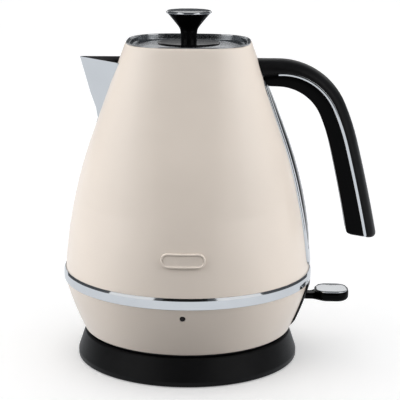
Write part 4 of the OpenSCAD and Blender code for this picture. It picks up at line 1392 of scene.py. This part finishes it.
def build_stage():
    """Pale table, white surround, side softboxes, a dark card in front, and the camera."""
    scene = bpy.context.scene
    scene.view_settings.view_transform = "Standard"
    scene.view_settings.look = "None"
    world = bpy.data.worlds.new("studio_walls")
    world.use_nodes = True
    dim = world.node_tree.nodes["Background"].inputs
    dim["Color"].default_value, dim["Strength"].default_value = (*linear("#EEF3FA"), 1), WALL_LIGHT
    scene.world = world

    # A table of opal acrylic, lit through from below: its look, its mirror image and its bounced light
    made, shader = new_material("opal_table", tint("table"), roughness=0.8, ior=1.45)
    shader.inputs["Emission Color"].default_value = (1, 1, 1, 1)
    shader.inputs["Emission Strength"].default_value = TABLE_GLOW
    stain(shader, pattern(shader, 60), tint("table"), shade(tint("table"), 0.99))
    seen = stage_piece("table", table_top(0.0), made, camera=True)
    made = glowing("opal_mirrored", linear("#F4F7FB"), TABLE_MIRRORED)
    stage_piece("table_mirrored", table_top(-0.4), made, mirror=True)
    made, shader = new_material("opal_bounce", linear("#7C7A78"), roughness=0.8, ior=1.45)
    stain(shader, pattern(shader, 60), linear("#7C7A78"), linear("#787674"))
    stage_piece("table_bounce", table_top(-0.8), made, bounce=True)

    white = glowing("white_surround", (1, 1, 1), 1.05)
    stage_piece("surround", box(*SURROUND), white, camera=True)
    white = glowing("white_card", (1, 1, 1), BACK_CARD)
    stage_piece("back_card", box(*BACK_CARD_BOX), white, mirror=True)
    made, shader = new_material("black_cloth", linear("#0C0C0C"), roughness=0.9)
    stain(shader, pattern(shader, 4), linear("#0A0A0A"), linear("#101010"))
    stage_piece("dark_card", box(*DARK_CARD_BOX), made, mirror=True, bounce=True)

    # The kettle mirrors two wide cards at its front sides, in place of the softboxes' hard outlines
    for name, side, power in (("left", -1, SIDE_POWER[0]), ("right", 1, SIDE_POWER[1])):
        softbox("softbox_" + name, (side * 1.45, -0.25, 0.7), 1.6, 1.7, power)
        card = shifted(box(*SIDE_CARD_BOX), Matrix.Rotation(radians(-side * SIDE_CARD_TURN), 4, "Z"))
        white = glowing("side_card_" + name, (1, 1, 1), SIDE_CARD)
        stage_piece("side_card_" + name, card, white, mirror=True)

    overhead("overhead", OVERHEAD)
    on_table = overhead("overhead_table", TABLE_LIGHT)
    on_table.light_linking.receiver_collection = lit_by("only_table", seen, "INCLUDE")
    but_table = lit_by("all_but_table", seen, "EXCLUDE")
    for lamp in scene.objects:
        if lamp.type == "LIGHT" and lamp is not on_table:
            lamp.light_linking.receiver_collection = but_table

    camera = bpy.data.cameras.new("camera")
    camera.lens, camera.sensor_width, camera.clip_start, camera.clip_end = CAMERA_LENS, 36, 0.05, 50
    made = bpy.data.objects.new("camera", camera)
    scene.collection.objects.link(made)
    turn = Matrix.Rotation(radians(CAMERA_TURN), 4, "Z")
    tilt = Matrix.Rotation(radians(90 - CAMERA_PITCH), 4, "X")
    roll = Matrix.Rotation(radians(CAMERA_ROLL), 4, "Z")
    made.matrix_world = turn @ Matrix.Translation(Vector(CAMERA_PLACE) * MM) @ (tilt @ roll)
    scene.camera = made


# ---- Operators, panel and registration ----


class KETTLE_OT_shell(bpy.types.Operator):
    """Replace the painted body shell"""

    bl_idname = "kettle.shell"
    bl_label = "Body Shell"

    def execute(self, context):
        build_body()
        return {"FINISHED"}


class KETTLE_OT_rim(bpy.types.Operator):
    """Replace the chrome ring that lines the mouth"""

    bl_idname = "kettle.rim"
    bl_label = "Rim Ring"

    def execute(self, context):
        build_rim_ring()
        return {"FINISHED"}


class KETTLE_OT_trim(bpy.types.Operator):
    """Replace the chrome band between body and skirt"""

    bl_idname = "kettle.trim"
    bl_label = "Trim Ring"

    def execute(self, context):
        build_trim_ring()
        return {"FINISHED"}


class KETTLE_OT_skirt(bpy.types.Operator):
    """Replace the painted skirt and the black panel round the lever"""

    bl_idname = "kettle.skirt"
    bl_label = "Skirt and Rear Panel"

    def execute(self, context):
        build_skirt()
        return {"FINISHED"}


class KETTLE_OT_lamp(bpy.types.Operator):
    """Replace the lamp's lens"""

    bl_idname = "kettle.lamp"
    bl_label = "Lamp"

    def execute(self, context):
        build_lamp()
        return {"FINISHED"}


class KETTLE_OT_spout(bpy.types.Operator):
    """Replace the chrome spout"""

    bl_idname = "kettle.spout"
    bl_label = "Spout"

    def execute(self, context):
        build_spout()
        return {"FINISHED"}


class KETTLE_OT_handle(bpy.types.Operator):
    """Replace the handle's rail, web and chrome stripes"""

    bl_idname = "kettle.handle"
    bl_label = "Handle"

    def execute(self, context):
        build_handle()
        return {"FINISHED"}


class KETTLE_OT_gauge(bpy.types.Operator):
    """Replace the level gauge's bezel and window, and print its marks"""

    bl_idname = "kettle.gauge"
    bl_label = "Level Gauge"

    def execute(self, context):
        build_gauge()
        return {"FINISHED"}


class KETTLE_OT_badge(bpy.types.Operator):
    """Replace the blank badge"""

    bl_idname = "kettle.badge"
    bl_label = "Badge"

    def execute(self, context):
        build_badge()
        return {"FINISHED"}


class KETTLE_OT_lever(bpy.types.Operator):
    """Replace the rocking lever and its chrome cap"""

    bl_idname = "kettle.lever"
    bl_label = "Lever"

    def execute(self, context):
        build_lever()
        return {"FINISHED"}


class KETTLE_OT_lid(bpy.types.Operator):
    """Replace the lid's dish, plug and disc, the knob and its cap"""

    bl_idname = "kettle.lid"
    bl_label = "Lid and Knob"

    def execute(self, context):
        build_lid()
        return {"FINISHED"}


class KETTLE_OT_base(bpy.types.Operator):
    """Replace the base housing, its connector, cord bush and foot ring"""

    bl_idname = "kettle.base"
    bl_label = "Power Base"

    def execute(self, context):
        build_base()
        return {"FINISHED"}


class KETTLE_OT_kept(bpy.types.Operator):
    """Give the parts that keep their CAD shape their materials"""

    bl_idname = "kettle.kept"
    bl_label = "Carried-over Parts"

    def execute(self, context):
        finish_kept()
        return {"FINISHED"}


class KETTLE_OT_stage(bpy.types.Operator):
    """Add the table, the lights and the camera"""

    bl_idname = "kettle.stage"
    bl_label = "Table and Lights"

    def execute(self, context):
        build_stage()
        return {"FINISHED"}


STEPS = (
    KETTLE_OT_shell,
    KETTLE_OT_rim,
    KETTLE_OT_trim,
    KETTLE_OT_skirt,
    KETTLE_OT_lamp,
    KETTLE_OT_spout,
    KETTLE_OT_handle,
    KETTLE_OT_gauge,
    KETTLE_OT_badge,
    KETTLE_OT_lever,
    KETTLE_OT_lid,
    KETTLE_OT_base,
    KETTLE_OT_kept,
    KETTLE_OT_stage,
)


class KETTLE_PT_panel(bpy.types.Panel):
    """Sizes, colours and building steps of the kettle"""

    bl_idname = "KETTLE_PT_panel"
    bl_label = "Electric Kettle"
    bl_space_type = "VIEW_3D"
    bl_region_type = "UI"
    bl_category = "Kettle"

    def draw(self, context):
        layout = self.layout
        for group in (context.scene.kettle_sizes, context.scene.kettle_colours):
            column = layout.column(align=True)
            for name in group.__annotations__:
                column.prop(group, name)
        column = layout.column(align=True)
        for step in STEPS:
            column.operator(step.bl_idname)


CLASSES = (KettleSizes, KettleColours, *STEPS, KETTLE_PT_panel)


def main():
    """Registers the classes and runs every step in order."""
    register()
    bpy.ops.kettle.shell()
    bpy.ops.kettle.rim()
    bpy.ops.kettle.trim()
    bpy.ops.kettle.skirt()
    bpy.ops.kettle.lamp()
    bpy.ops.kettle.spout()
    bpy.ops.kettle.handle()
    bpy.ops.kettle.gauge()
    bpy.ops.kettle.badge()
    bpy.ops.kettle.lever()
    bpy.ops.kettle.lid()
    bpy.ops.kettle.base()
    bpy.ops.kettle.kept()
    bpy.ops.kettle.stage()


def register():
    """Registers the classes and their settings on the scene."""
    for cls in CLASSES:
        bpy.utils.register_class(cls)
    bpy.types.Scene.kettle_sizes = PointerProperty(type=KettleSizes)
    bpy.types.Scene.kettle_colours = PointerProperty(type=KettleColours)


def unregister():
    """Removes the classes and their settings."""
    del bpy.types.Scene.kettle_sizes
    del bpy.types.Scene.kettle_colours
    for cls in reversed(CLASSES):
        bpy.utils.unregister_class(cls)


if __name__ == "__main__":
    main()
